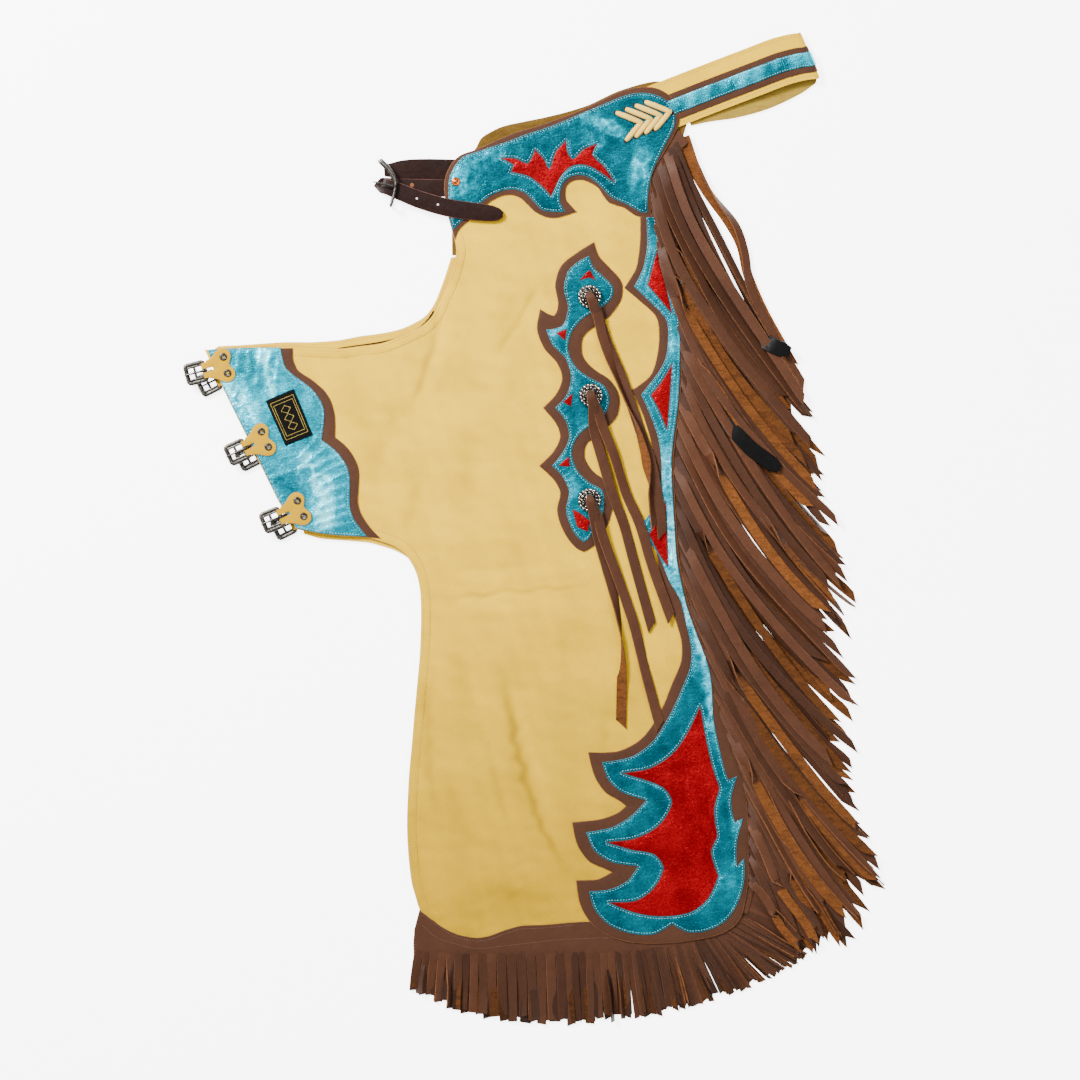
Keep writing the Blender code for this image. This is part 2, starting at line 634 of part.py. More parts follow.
CLOVER_SIDE = (
    (8.6, 1.9), (15.2, 1.9), (15.2, 7.4), (11.5, 8.6), (7.5, 12.0), (3.0, 16.3), (-3.5, 17.6),
    (-9.0, 14.0), (-10.5, 8.0), (-7.5, 2.8),
)
CLOVER_NOTCH = 6.0
HOOK_WIDTH = 5.2
HOOK_SIDE = 2.3
UPPER_BAR_HEIGHT = 9.6
LOWER_TAB_THICK = 0.9
LOWER_TAB_WIDTH = 15.2
LOWER_BAR_HEIGHT = 2.85
LOWER_SHIFT = (7.0, 8.5)


class Hinge:
    """The bar of one buckle: its middle, its direction and the way that the buckle points."""

    def __init__(self, place, height, outward):
        self.middle = at(place.x, place.y, height)
        self.out = Vector((outward.x, -outward.y, 0)).normalized()
        self.bar = Vector((0, 0, 1)).cross(self.out)

    def spot(self, out, bar, up):
        """World point at millimetres outwards, along the bar and upwards from the bar's middle."""
        return self.middle + (self.out * out + self.bar * bar + Vector((0, 0, up))) * MM


def buckle_frame(name, hinge):
    """A bent wire rectangle that turns on the bar."""
    corner = 2.2
    reach, half = BUCKLE_LONG, BUCKLE_HALF
    path = [(0, half - corner), (0.3 * corner, half - 0.3 * corner), (corner, half)]
    path += [(reach - corner, half), (reach - 0.3 * corner, half - 0.3 * corner), (reach, half - corner)]
    mirrored = [(out, -bar) for out, bar in reversed(path)]
    points = [hinge.spot(out, bar, 0) for out, bar in path + mirrored]
    return tube(name, points, WIRE * MM, "nickel", closed=True)


def buckle_prong(name, hinge):
    """A flat ring round the bar with a finger that lies on the far side of the frame."""
    half_width = 1.4
    inner, outer = WIRE + PLAY, WIRE + PLAY + PRONG_THICK
    steps = 10
    points, faces = [], []
    for i in range(steps):
        angle = 2 * math.pi * i / steps
        for radius, side in ((inner, -1), (inner, 1), (outer, 1), (outer, -1)):
            spot = hinge.spot(radius * math.cos(angle), side * half_width, radius * math.sin(angle))
            points.append(spot)
    for i in range(steps):
        k = (i + 1) % steps
        for j in range(4):
            m = (j + 1) % 4
            faces.append((4 * i + j, 4 * i + m, 4 * k + m, 4 * k + j))
    ring = solid(name, points, faces, "nickel")
    height = WIRE + 0.95
    row = ((0.6, 1.3, height - 0.35), (10, 1.3, height + 0.35), (22.5, 1.0, height + 0.1))
    sections = [
        Section(hinge.spot(out, 0, up), hinge.bar, 2 * half * MM, PRONG_THICK * MM)
        for out, half, up in row
    ]
    return joined(ring, strap(name + "_finger", sections, "nickel"))


def tab_hook(name, hinge, side, thick, top_run, tail):
    """Half of a tab's loop: it runs to the bar, round it and a little way back under it."""
    middle = WIRE + PLAY + thick / 2
    row = [(-out, up) for out, up in top_run]
    row += [(middle * math.sin(a), middle * math.cos(a)) for a in np.radians(range(0, 181, 30))]
    row.append((-tail, -middle))
    centre = side * (HOOK_SIDE + HOOK_WIDTH / 2)
    sections = [
        Section(hinge.spot(out, centre, up), hinge.bar, HOOK_WIDTH * MM, thick * MM) for out, up in row
    ]
    return strap(name, sections, "tan_leather")


def clover(middle, outward):
    """Grid outline of a tab: two lobes over its rivets, and a neck with a slit for the prong."""
    side = Vector((-outward.y, outward.x))
    sharp_rows = 3
    knots = [(*(middle + outward * out + side * wide), SHARP) for out, wide in CLOVER_SIDE[:sharp_rows]]
    knots += [tuple(middle + outward * out + side * wide) for out, wide in CLOVER_SIDE[sharp_rows:]]
    knots.append(tuple(middle - outward * CLOVER_NOTCH))
    mirrored = [(out, -wide) for out, wide in reversed(CLOVER_SIDE)]
    knots += [tuple(middle + outward * out + side * wide) for out, wide in mirrored[:-sharp_rows]]
    knots += [(*(middle + outward * out + side * wide), SHARP) for out, wide in mirrored[-sharp_rows:]]
    return flow(knots, 5)


def upper_tab(number, middle, outward):
    """A tab of the upper wing, riveted on its face, with its buckle."""
    hinge = Hinge(middle + outward * TAB_BAR, UPPER_BAR_HEIGHT, outward)
    outline = clover(middle, outward)
    tab = sheet(f"left_tab_{number}", outline, "tan_leather", TAB_BASE, TAB_THICK, 14, raised=flat)
    mid_height = TAB_BASE + TAB_THICK / 2 - UPPER_BAR_HEIGHT
    run = ((9.0, mid_height), (5.0, mid_height))
    thick = TAB_THICK - 0.2
    hooks = [tab_hook(f"left_hook_{number}_{side}", hinge, side, thick, run, 3.2) for side in (-1, 1)]
    joined(tab, *hooks)
    buckle_frame(f"left_buckle_{number}", hinge)
    buckle_prong(f"left_prong_{number}", hinge)


def lower_tab(number, middle):
    """The loop end of a tab of the lower wing, below the upper one, with its buckle."""
    side = Vector((-OUTWARD.y, OUTWARD.x))
    place = middle + OUTWARD * (TAB_BAR - LOWER_SHIFT[0]) - side * LOWER_SHIFT[1]
    hinge = Hinge(place, LOWER_BAR_HEIGHT, OUTWARD)
    reach = WIRE + PLAY + LOWER_TAB_THICK / 2
    run = ((2.4, reach),)
    hooks = [
        tab_hook(f"right_hook_{number}_{side}", hinge, side, LOWER_TAB_THICK, run, 4.8)
        for side in (-1, 1)
    ]
    sections = [
        Section(hinge.spot(-out, 0, -reach), hinge.bar, LOWER_TAB_WIDTH * MM, (LOWER_TAB_THICK - 0.1) * MM)
        for out in (3.4, 5.6)
    ]
    joined(strap(f"right_tab_{number}", sections, "tan_leather"), *hooks)
    buckle_frame(f"right_buckle_{number}", hinge)
    buckle_prong(f"right_prong_{number}", hinge)


def make_wing():
    sheet("wing_border", flow(WING_BORDER, 11), "brown_leather", BACKING_BASE, BACKING, 20)
    sheet("wing_patch", flow(WING_TOP, 11), "teal_foil", FOIL_BASE, FOIL, 20)
    label = [Vector(p) for p in LABEL]
    sheet("label", label, "black_leather", TRIM_BASE, 0.8, 20)
    for i, row in enumerate(TABS):
        middle = Vector(row[:2])
        upper_tab(i + 1, middle, Vector(row[2:]).normalized())
        lower_tab(i + 1, middle)


# The fringes
Strand = namedtuple("Strand", "root_across root_down tip_across tip_down")
HEM_STRANDS = (
    Strand(415, 950, 410, 991), Strand(480, 953, 479, 1018), Strand(560, 953, 562, 1025),
    Strand(620, 952, 626, 1020), Strand(660, 948, 673, 1012), Strand(685, 944, 704, 1003),
    Strand(712, 936, 748, 990), Strand(738, 925, 803, 957),
)
SIDE_STRANDS = (
    Strand(683, 134, 804, 385), Strand(658, 172, 808, 408), Strand(658, 215, 812, 457),
    Strand(676, 290, 830, 528), Strand(682, 345, 850, 586), Strand(680, 400, 852, 640),
    Strand(674, 460, 853, 703), Strand(677, 520, 847, 774), Strand(684, 580, 872, 850),
    Strand(703, 640, 880, 888), Strand(717, 700, 855, 920), Strand(734, 745, 838, 938),
    Strand(749, 800, 815, 945), Strand(751, 850, 806, 943), Strand(748, 890, 802, 940),
)
RIGHT_STRANDS = (
    Strand(676, 262, 806, 480), Strand(682, 345, 838, 560), Strand(680, 400, 846, 625),
    Strand(674, 460, 846, 690), Strand(677, 520, 852, 765), Strand(684, 580, 884, 846),
    Strand(703, 640, 876, 880), Strand(717, 700, 858, 902), Strand(734, 745, 856, 900),
)
STRIP_WIDTH = 6.6
STRIP_SEAM = 0.5
Fringe = namedtuple("Fringe", "count pitch_fill base lane_base lanes sway shorten")
LEFT_HEM = Fringe(48, 0.82, LEG_BASE, 0.0, 1, 0.7, 5)
RIGHT_HEM = Fringe(22, 0.7, 0.25, 0.0, 1, 1.5, 9)
LEFT_SIDE = Fringe(64, 0.72, LEG_BASE, 5.55, 4, 7.0, 34)
RIGHT_SIDE = Fringe(30, 0.5, 0.25, 0.3, 2, 6.0, 26)
STRAND_STEPS = (0.1, 0.5, 1.0)
STRAND_WIDTH = 9.0
SHORT_STRAND = 120
STRIP_CORNER = ((415, 925), (418, 912))
TIP_SLANT = 1.6
HEM_TIP_DROP = 1.65
HEM_DROP_START = 955
HEM_DROP_RUN = 55
SIDE_TIP_DROP = 2.2
FOOT_ROOTS = 800
UNDER_YOKE = ((683, 134), (668, 149), (656, 166), (650.5, 186))
STRAP_SLOTS = ((244, 276), (374, 412))
CLEAR_OF_STRAPS = 430


def between(first, second, t):
    """Root and tip of a strand a share t of the way from one row of a table to the next."""
    mixed = [a + (b - a) * t for a, b in zip(first, second)]
    return Vector(mixed[:2]), Vector(mixed[2:])


def fan(strands, share):
    """Root and tip of the strand at a share of the way along a table, from 0 to 1."""
    place = share * (len(strands) - 1)
    i = min(int(place), len(strands) - 2)
    return between(strands[i], strands[i + 1], place - i)


def tip_from(strands, down):
    """Tip of the strand whose root is this far down, from a table in order of its roots."""
    for first, second in zip(strands, strands[1:]):
        if down <= second.root_down:
            t = (down - first.root_down) / (second.root_down - first.root_down)
            return between(first, second, t)[1]
    return Vector(strands[-1][2:])


def hem_fringe(name, shape, strip_top, seed):
    """A strip under a hem, cut into strands that lie side by side."""
    draw = random.Random(seed)
    teeth = []
    for i in range(shape.count):
        share = (i + 0.5) / shape.count
        root, tip = fan(HEM_STRANDS, share)
        pitch = fan(HEM_STRANDS, (i + 1) / shape.count)[0] - fan(HEM_STRANDS, i / shape.count)[0]
        half = pitch * (shape.pitch_fill / 2)
        tip = tip + Vector((draw.uniform(-shape.sway, shape.sway), -draw.uniform(0, shape.shorten)))
        narrow = half * draw.uniform(0.75, 1.0)
        slant = Vector((0, draw.uniform(-TIP_SLANT, TIP_SLANT)))
        teeth.append((root + half, tip + narrow + slant, tip - narrow - slant, root - half))
    outline = list(strip_top)
    for tooth in reversed(teeth):
        outline += tooth

    def hanging(place):
        """The strip follows the leg, and the strands sink to the floor past the leg's hem."""
        below = (place.y - HEM_DROP_START) / HEM_DROP_RUN
        return lift(place) * (1 - smoothstep(below + 0.5)) - HEM_TIP_DROP * smoothstep(below)

    raised = hanging if shape.base > UNDER_TOP else flat
    sheet(name, outline, "brown_leather", shape.base, STRAND_THICK, WIDE_SPACING, raised=raised)


def strip_frame(edge, distance):
    """Place and outward direction at a distance along an open edge that runs downwards."""
    for start, end in zip(edge, edge[1:]):
        reach = (end - start).length
        if distance <= reach:
            heading = (end - start) / reach
            return start + heading * distance, Vector((heading.y, -heading.x))
        distance -= reach
    heading = (edge[-1] - edge[-2]).normalized()
    return edge[-1] + heading * distance, Vector((heading.y, -heading.x))


def side_fringe(name, shape, strands, edge, shift, slots, seed):
    """A narrow strip beside the outer edge, and strands that leave its outer side and cross in lanes."""
    draw = random.Random(seed)
    total = sum((b - a).length for a, b in zip(edge, edge[1:]))
    pitch = total / shape.count
    points, faces = [], []
    heights = (shape.base, shape.base + STRAND_THICK)

    def station(distance):
        """Four corners of the strip: inner low, inner high, outer low, outer high."""
        place, out = strip_frame(edge, distance)
        out_ahead = strip_frame(edge, distance + pitch)[1]
        out_behind = strip_frame(edge, max(distance - pitch, 0.0))[1]
        out = (out + out_ahead + out_behind).normalized()
        first = len(points)
        for reach in (shift, shift + STRIP_WIDTH):
            spot = place + out * reach
            points.extend(at(spot.x, spot.y, height) for height in heights)
        return first, place + out * (shift + STRIP_WIDTH), out

    before = station(0.0)[0]
    faces.append((before, before + 1, before + 3, before + 2))

    def span(first, second, outer_side):
        faces.append((first, first + 2, second + 2, second))
        faces.append((first + 1, second + 1, second + 3, first + 3))
        faces.append((first, second, second + 1, first + 1))
        if outer_side:
            faces.append((first + 2, first + 3, second + 3, second + 2))

    for i in range(shape.count):
        middle = (i + 0.5) * pitch
        root = strip_frame(edge, middle)[0]
        if any(low < root.y < high for low, high in slots):
            bare = station(middle)[0]
            span(before, bare, True)
            before = bare
            continue
        start, start_place, _ = station(middle - pitch * shape.pitch_fill / 2)
        end, end_place, out = station(middle + pitch * shape.pitch_fill / 2)
        span(before, start, True)
        span(start, end, False)
        before = end
        origin = (start_place + end_place) / 2
        tip = tip_from(strands, root.y)
        tip = tip + Vector((draw.uniform(-1, 1), draw.uniform(-1, 1))) * shape.sway
        lane = i % shape.lanes
        if shape.lanes > 2 and root.y > FOOT_ROOTS:
            lane = 1 + i % (shape.lanes - 1)
        length = (tip - origin).length
        tip = tip + (origin - tip).normalized() * draw.uniform(0, min(shape.shorten, 0.2 * length))
        bend = origin + out * (0.1 * length) + Vector((0, 0.02 * length))
        before_tip = tip - (tip - bend).normalized() * (0.4 * length)
        before_tip += Vector((0.02 * length, -0.02 * length))
        width = STRAND_WIDTH * (1.0 if length > SHORT_STRAND else 0.8)
        ring = [start + 2, end + 2, end + 3, start + 3]
        lane_low = shape.lane_base + lane * STRAND_LANE
        tip_drop = SIDE_TIP_DROP if shape.base > UNDER_TOP and root.y > CLEAR_OF_STRAPS else 0.0
        for t in STRAND_STEPS:
            s = 1 - t
            spot = origin * s**3 + bend * (3 * s * s * t) + before_tip * (3 * s * t * t) + tip * t**3
            heading = (bend - origin) * (s * s) + (before_tip - bend) * (2 * s * t)
            heading = (heading + (tip - before_tip) * (t * t)).normalized()
            across = Vector((-heading.y, heading.x)) * (width / 2) * (0.6 if t == 1.0 else 1.0)
            low = lane_low - (tip_drop if t == 1.0 else 0.0)
            first = len(points)
            points.append(at(*(spot - across), low))
            points.append(at(*(spot + across), low))
            points.append(at(*(spot + across), low + STRAND_THICK))
            points.append(at(*(spot - across), low + STRAND_THICK))
            section = [first, first + 1, first + 2, first + 3]
            for j in range(4):
                k = (j + 1) % 4
                faces.append((ring[j], ring[k], section[k], section[j]))
            ring = section
        faces.append(tuple(ring))
    last = station(total)[0]
    span(before, last, True)
    faces.append((last, last + 2, last + 3, last + 1))
    solid(name, points, faces, "brown_leather")


def make_fringes():
    strip_top = flow(OUTER_EDGE[-1:] + HEM_EDGE, EDGE_STEP, closed=False)[::-1]
    strip_top = [p + Vector((0, STRIP_SEAM)) for p in strip_top]
    strip_top = [Vector(p) for p in STRIP_CORNER] + strip_top
    hem_fringe("left_hem_fringe", LEFT_HEM, strip_top, 11)
    hem_fringe("right_hem_fringe", RIGHT_HEM, strip_top, 12)
    seam = flow(LEFT_WAIST[-1:] + OUTER_EDGE, EDGE_STEP, closed=False)
    edge = [Vector(p) for p in UNDER_YOKE] + [p for p in seam if 200 < p.y < 905]
    side_fringe("left_side_fringe", LEFT_SIDE, SIDE_STRANDS, edge, STRIP_SEAM, STRAP_SLOTS, 21)
    under = [p for p in edge if 262 < p.y < 775]
    side_fringe("right_side_fringe", RIGHT_SIDE, RIGHT_STRANDS, under, STRIP_SEAM - UNDER_INSET, (), 22)


# The belt with its stripes, and the straps
BELT_WIDTH = 49.0
BELT_THICK = 2.0
BELT_TURN = 4.0
LINING_HEIGHT = 1.2
BELT_TOP_RUN = (
    (616, 125.4, 4.3), (640, 116, 4.3), (680, 100, 4.3), (700, 92.2, 4.6), (720, 84.5, 5.3),
    (752, 72.5, 7.0), (780, 62, 8.5), (798, 57.5, 9.2), (806, 56.6, 9.2),
)
BELT_UNDER_RUN = (
    (806, 60.5, 1.2), (791, 71, 1.2), (759, 86, 1.2), (727, 95, 1.2), (700, 99, 1.2), (681.2, 103, 1.2),
)
BELT_ACROSS = Vector((0.368, -0.930, 0))
UNDER_ACROSS = Vector((0.413, -0.911, 0))
Stripe = namedtuple("Stripe", "name width offset base thick colour")
STRIPES = (
    Stripe("belt_stripe", 27.0, 4.3, BELT_THICK / 2 + GAP, 0.8, "brown_leather"),
    Stripe("belt_inlay", 14.5, 4.05, BELT_THICK / 2 + 2 * GAP + 0.8, 0.8, "teal_foil"),
)
FRONT_STRAP = (
    (454, 168.5, 1.3, 17), (430, 168, 2.2, 17), (410, 168, 3.6, 17), (399, 168.5, 4.2, 15),
    (391, 169.5, 4.3, 11), (384, 170.5, 4.3, 10),
)
BILLET = (
    (461, 187.8, 4.35, 17), (436, 188, 4.35, 17), (412, 187.5, 4.3, 17), (398, 186.5, 4.3, 15.5),
    (388, 185.5, 4.3, 15), (383.4, 185.3, 5.0, 15), (381.6, 185.6, 6.8, 15), (383.4, 186.2, 8.6, 15),
    (388, 187.5, 9.4, 15), (397, 191, 9.5, 16), (421, 200.5, 9.5, 17), (450, 208.5, 9.5, 17),
    (480, 212.5, 9.5, 16.5), (495, 214.5, 9.5, 14), (503, 216, 9.5, 5),
)
FRAME_BEND = ((383, 161.6), (395, 181), (391, 205.4))
FRAME_LOW = 1.8
FRAME_HIGH = 13.7
THIGH_STRAPS = (
    ((679, 262, 4.35), (700, 283, 4.35), (735, 318, 4.35), (765, 341, 4.35), (789, 351, 4.35)),
    ((686.5, 391, 4.35), (702, 400, 4.35), (728, 424, 4.35), (755, 450, 4.35), (779, 469, 4.35)),
)
THIGH_WIDTH = 15.0
STRAP_THICK = 1.7


def belt_sections():
    """Sections of the belt from under the yoke, over the fold at its far end and back below."""
    across = BELT_ACROSS.normalized()
    across_under = UNDER_ACROSS.normalized()
    sections = [(at(*row), across) for row in BELT_TOP_RUN]
    turn = at(*BELT_TOP_RUN[-1][:2], LINING_HEIGHT + BELT_TURN)
    heading = Vector((across.y, -across.x, 0)) * (-1 if across.y < 0 else 1)
    for degrees in (60, 30, 0, -30, -60):
        angle = math.radians(degrees)
        reach = heading * (BELT_TURN * MM * math.cos(angle))
        sections.append((turn + reach + Vector((0, 0, BELT_TURN * MM * math.sin(angle))), across))
    sections += [(at(*row), across_under) for row in BELT_UNDER_RUN]
    return sections


def make_belt():
    sections = belt_sections()
    size = BELT_WIDTH * GRID
    rows = [Section(centre, across, size, BELT_THICK * MM) for centre, across in sections]
    strap("back_belt", rows, "tan_leather")
    turn_start = len(BELT_TOP_RUN)
    for stripe in STRIPES:
        lift_by = (stripe.base + stripe.thick / 2) * MM
        cut = []
        before = Vector((0, 0, 1))
        for i in range(2, turn_start + 4):
            centre, across = sections[i]
            heading = sections[i + 1][0] - sections[i - 1][0]
            normal = across.cross(heading).normalized()
            if normal.dot(before) < 0:
                normal = -normal
            before = normal
            spot = centre + across * (stripe.offset * GRID) + normal * lift_by
            cut.append(Section(spot, across, stripe.width * GRID, stripe.thick * MM))
        strap(stripe.name, cut, stripe.colour)


def flat_strap(name, route, widths, material_name):
    """A strap whose turns are upright: every section lies across the same way."""
    points = [at(*row[:3]) for row in route]
    sections = []
    for i, point in enumerate(points):
        ahead = points[min(i + 1, len(points) - 1)] - points[max(i - 1, 0)]
        across = Vector((-ahead.y, ahead.x, 0))
        if across.length < 0.3 * ahead.length:
            across = sections[-1].across
        elif sections and across.dot(sections[-1].across) < 0:
            across = -across
        sections.append(Section(point, across.normalized(), widths[i] * GRID, STRAP_THICK * MM))
    return strap(name, sections, material_name)


def make_straps():
    flat_strap("front_strap", FRONT_STRAP, [row[3] for row in FRONT_STRAP], "strap_leather")
    flat_strap("front_billet", BILLET, [row[3] for row in BILLET], "strap_leather")
    low = [at(*place, FRAME_LOW) for place in FRAME_BEND]
    high = [at(*place, FRAME_HIGH) for place in reversed(FRAME_BEND)]
    tube("front_buckle", low + high, WIRE * MM, "nickel", closed=True, up=(1, 0.1, 0))
    middle = Vector(FRAME_BEND[1]).lerp(Vector(FRAME_BEND[2]), 0.25)
    hinge = Hinge(middle, FRAME_HIGH, Vector((-0.98, -0.2)))
    buckle_prong("front_prong", hinge)
    for i, route in enumerate(THIGH_STRAPS):
        flat_strap(f"thigh_strap_{i + 1}", route, [THIGH_WIDTH] * len(route), "black_leather")


def main():
    clear_scene()
    make_legs()
    make_yoke()
    make_band()
    make_patch()
    make_wing()
    make_fringes()
    make_belt()
    make_straps()


main()
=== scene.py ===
import json
import math
import random

import bpy
import numpy as np
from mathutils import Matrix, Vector
from mathutils.geometry import delaunay_2d_cdt


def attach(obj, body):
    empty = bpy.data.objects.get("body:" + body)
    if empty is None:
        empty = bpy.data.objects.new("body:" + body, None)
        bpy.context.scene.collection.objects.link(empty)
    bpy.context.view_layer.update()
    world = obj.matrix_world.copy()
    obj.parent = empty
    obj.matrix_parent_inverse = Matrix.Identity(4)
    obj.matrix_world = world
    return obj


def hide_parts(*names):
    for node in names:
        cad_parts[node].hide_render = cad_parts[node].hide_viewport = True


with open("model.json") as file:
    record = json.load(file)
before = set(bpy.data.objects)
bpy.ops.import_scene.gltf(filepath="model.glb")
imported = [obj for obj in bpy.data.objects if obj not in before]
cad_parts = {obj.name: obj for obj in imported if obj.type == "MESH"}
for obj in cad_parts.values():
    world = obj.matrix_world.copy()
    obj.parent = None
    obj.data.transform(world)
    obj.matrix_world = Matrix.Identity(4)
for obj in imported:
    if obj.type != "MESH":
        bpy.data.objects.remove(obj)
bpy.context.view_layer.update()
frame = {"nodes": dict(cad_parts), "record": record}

GRID_MM = 1.1
CENTRE = np.array((532.9, 527.7))
RECORD = frame["record"]
BODY_OF = {node: body for body, nodes in RECORD["behaviour"]["bodies"].items() for node in nodes}


# Grid helpers

def millimetres(places, heights):
    """Points in millimetres, X right, Y up the photograph and Z up, from grid places and heights."""
    places = np.asarray(places, float)
    flat = (places - CENTRE) * GRID_MM
    return np.column_stack((flat[:, 0], -flat[:, 1], np.broadcast_to(heights, len(places))))


def waves(places, length, seed, count=7):
    """A smooth random field over grid places, about -1 to 1, with features of this length."""
    draw = random.Random(seed)
    total = np.zeros(len(places))
    for _ in range(count):
        angle = draw.uniform(0, 2 * math.pi)
        size = 2 * math.pi / (length * draw.uniform(0.7, 1.6))
        phase = draw.uniform(0, 2 * math.pi)
        along = places[:, 0] * math.cos(angle) + places[:, 1] * math.sin(angle)
        total += np.sin(along * size + phase)
    return total / math.sqrt(count)


def smoothstep(t):
    t = np.clip(t, 0.0, 1.0)
    return t * t * (3 - 2 * t)


# Rises and creases of the upper leg: the grid line, half width and height in millimetres.
FOLDS = (
    (505, 330, 500, 480, 75, 3.2), (500, 660, 490, 860, 70, 3.0), (575, 760, 560, 860, 40, 1.2),
    (440, 592, 590, 588, 13, -1.6), (509, 696, 530, 800, 15, -1.4), (430, 318, 418, 375, 12, -0.9),
    (537, 290, 503, 350, 13, -1.2),
)
# Finer creases: the grid line that each runs along, its half width and its depth or height.
CREASES = (
    (((436, 600), (470, 596), (512, 591), (560, 588), (602, 585)), 3.2, -0.95),
    (((440, 582), (500, 579), (585, 574)), 8, 0.9), (((445, 612), (510, 604), (590, 599)), 9, 0.45),
    (((478, 606), (520, 603), (570, 606)), 3.5, -0.35), (((455, 571), (500, 568), (540, 569)), 4, -0.3),
    (((501, 660), (509, 705), (518, 755), (535, 813), (556, 853), (578, 890)), 4.0, -1.35),
    (((516, 690), (530, 745), (550, 800), (580, 865)), 6, 0.85), (((498, 700), (508, 760), (524, 820)), 6, 0.45),
    (((486, 735), (497, 790), (512, 838)), 4, -0.4), (((438, 303), (433, 345), (420, 385), (409, 418)), 4, -1.0),
    (((450, 318), (444, 355), (430, 400)), 6, 0.7), (((541, 280), (526, 308), (511, 332), (496, 358)), 3.2, -1.0),
    (((530, 292), (516, 322), (506, 345)), 6, 0.7), (((556, 268), (548, 290), (540, 300)), 5, -0.3),
    (((508, 366), (513, 385), (511, 404)), 5, -0.4), (((452, 640), (465, 680), (470, 720)), 8, -0.4),
    (((432, 655), (428, 710), (431, 770), (440, 830)), 4.5, -0.6), (((441, 760), (456, 810), (476, 856)), 7, -0.45),
    (((600, 600), (622, 622), (640, 645)), 7, -0.5), (((398, 395), (388, 430), (370, 475)), 9, -0.5),
    (((420, 470), (415, 500), (404, 535)), 6, -0.5), (((612, 690), (606, 725), (600, 765)), 7, -0.45),
    (((468, 884), (510, 893), (562, 900)), 7, -0.4), (((560, 615), (566, 660), (566, 705)), 7, -0.35),
    (((463, 415), (470, 460), (468, 505)), 10, -0.45), (((360, 400), (372, 440), (376, 500)), 10, -0.4),
    (((300, 353), (345, 351), (388, 350)), 5, -0.25),
)
WING_EDGE = (205, 350, 295, 528, 66, 2.6)


def line_distance(places, row):
    start, end = np.array(row[:2], float), np.array(row[2:4], float)
    line = end - start
    t = np.clip((places - start) @ line / (line @ line), 0.0, 1.0)
    return np.linalg.norm(places - (start + t[:, None] * line), axis=1)


def crease_shape(places, crease):
    """How far into a crease each place lies, 0 to 1, with the crease dying out at both its ends."""
    line, half_width = crease[:2]
    wandering = places + np.column_stack((1.6 * waves(places, 26, 71, 4), 1.6 * waves(places, 26, 72, 4)))
    nearest_gap = np.full(len(places), 1e9)
    share = np.zeros(len(places))
    runs = [math.dist(a, b) for a, b in zip(line, line[1:])]
    done = 0.0
    for (a, b), run in zip(zip(line, line[1:]), runs):
        start, step = np.array(a, float), np.array(b, float) - a
        t = np.clip((wandering - start) @ step / (step @ step), 0.0, 1.0)
        gap = np.linalg.norm(wandering - (start + t[:, None] * step), axis=1)
        closer = gap < nearest_gap
        nearest_gap = np.where(closer, gap, nearest_gap)
        share = np.where(closer, (done + t * run) / sum(runs), share)
        done += run
    fading = smoothstep(share / 0.3) * smoothstep((1 - share) / 0.3)
    return np.exp(-((nearest_gap / half_width) ** 2)) * fading


def rise(places):
    """Height of the upper leg's layers above where they would lie quite flat."""
    places = np.atleast_2d(np.asarray(places, float))
    total = np.zeros(len(places))
    for row in FOLDS:
        total += row[5] * np.exp(-((line_distance(places, row) / row[4]) ** 2))
    for crease in CREASES:
        total += crease[2] * crease_shape(places, crease)
    away = line_distance(places, WING_EDGE)
    total += WING_EDGE[5] * smoothstep(1 - (away - 8) / WING_EDGE[4])
    return np.maximum(total, 0.0)


def level(places):
    return np.zeros(len(places))


# Outlines

def node_loops(node):
    """The outline loops of a sheet node's upper face, on the grid, each as a list of places."""
    mesh = frame["nodes"][node].data
    points = np.empty(len(mesh.vertices) * 3)
    mesh.vertices.foreach_get("co", points)
    points = points.reshape(-1, 3)
    keys, index = np.unique(np.round(points, 5), axis=0, return_inverse=True)
    index = index.reshape(-1)
    edges = set()
    for face in mesh.polygons:
        if face.normal.z > 0.3:
            ids = [int(index[i]) for i in face.vertices]
            edges.update(zip(ids, ids[1:] + ids[:1]))
    after = {a: b for a, b in edges if (b, a) not in edges}
    loops = []
    while after:
        first, here = next(iter(after.items()))
        loop = [first]
        del after[first]
        while here != first:
            loop.append(here)
            here = after.pop(here)
        places = keys[loop][:, :2] / (GRID_MM * 0.001) * (1, -1) + CENTRE
        loops.append(places)
    return sorted(loops, key=lambda loop: -abs(loop_area(loop)))


def loop_area(loop):
    x, y = loop[:, 0], loop[:, 1]
    return 0.5 * float(np.sum(x * np.roll(y, -1) - np.roll(x, -1) * y))


def spline(knots, step, closed=False, sharp=None):
    """A smooth line through knots of any width, with sharp corners where they are marked."""
    knots = np.asarray(knots, float)
    size = len(knots)
    sharp = np.zeros(size, bool) if sharp is None else sharp
    found = []
    for i in range(size if closed else size - 1):
        start, end = knots[i], knots[(i + 1) % size]
        first = sharp[i] or (not closed and i == 0)
        last = sharp[(i + 1) % size] or (not closed and i == size - 2)
        before = 2 * start - end if first else knots[i - 1]
        after = 2 * end - start if last else knots[(i + 2) % size]
        reach = np.linalg.norm(end[:2] - start[:2])
        if not first:
            before = start + (before - start) * min(1.0, reach / max(np.linalg.norm(before[:2] - start[:2]), 1e-6))
        if not last:
            after = end + (after - end) * min(1.0, reach / max(np.linalg.norm(after[:2] - end[:2]), 1e-6))
        t = np.arange(max(1, math.ceil(reach / step)))[:, None] / max(1, math.ceil(reach / step))
        found.append(0.5 * (2 * start + (end - before) * t + (2 * before - 5 * start + 4 * end - after) * t**2
                            + (3 * start - before - 3 * end + after) * t**3))
    if not closed:
        found.append(knots[-1:])
    return np.concatenate(found)


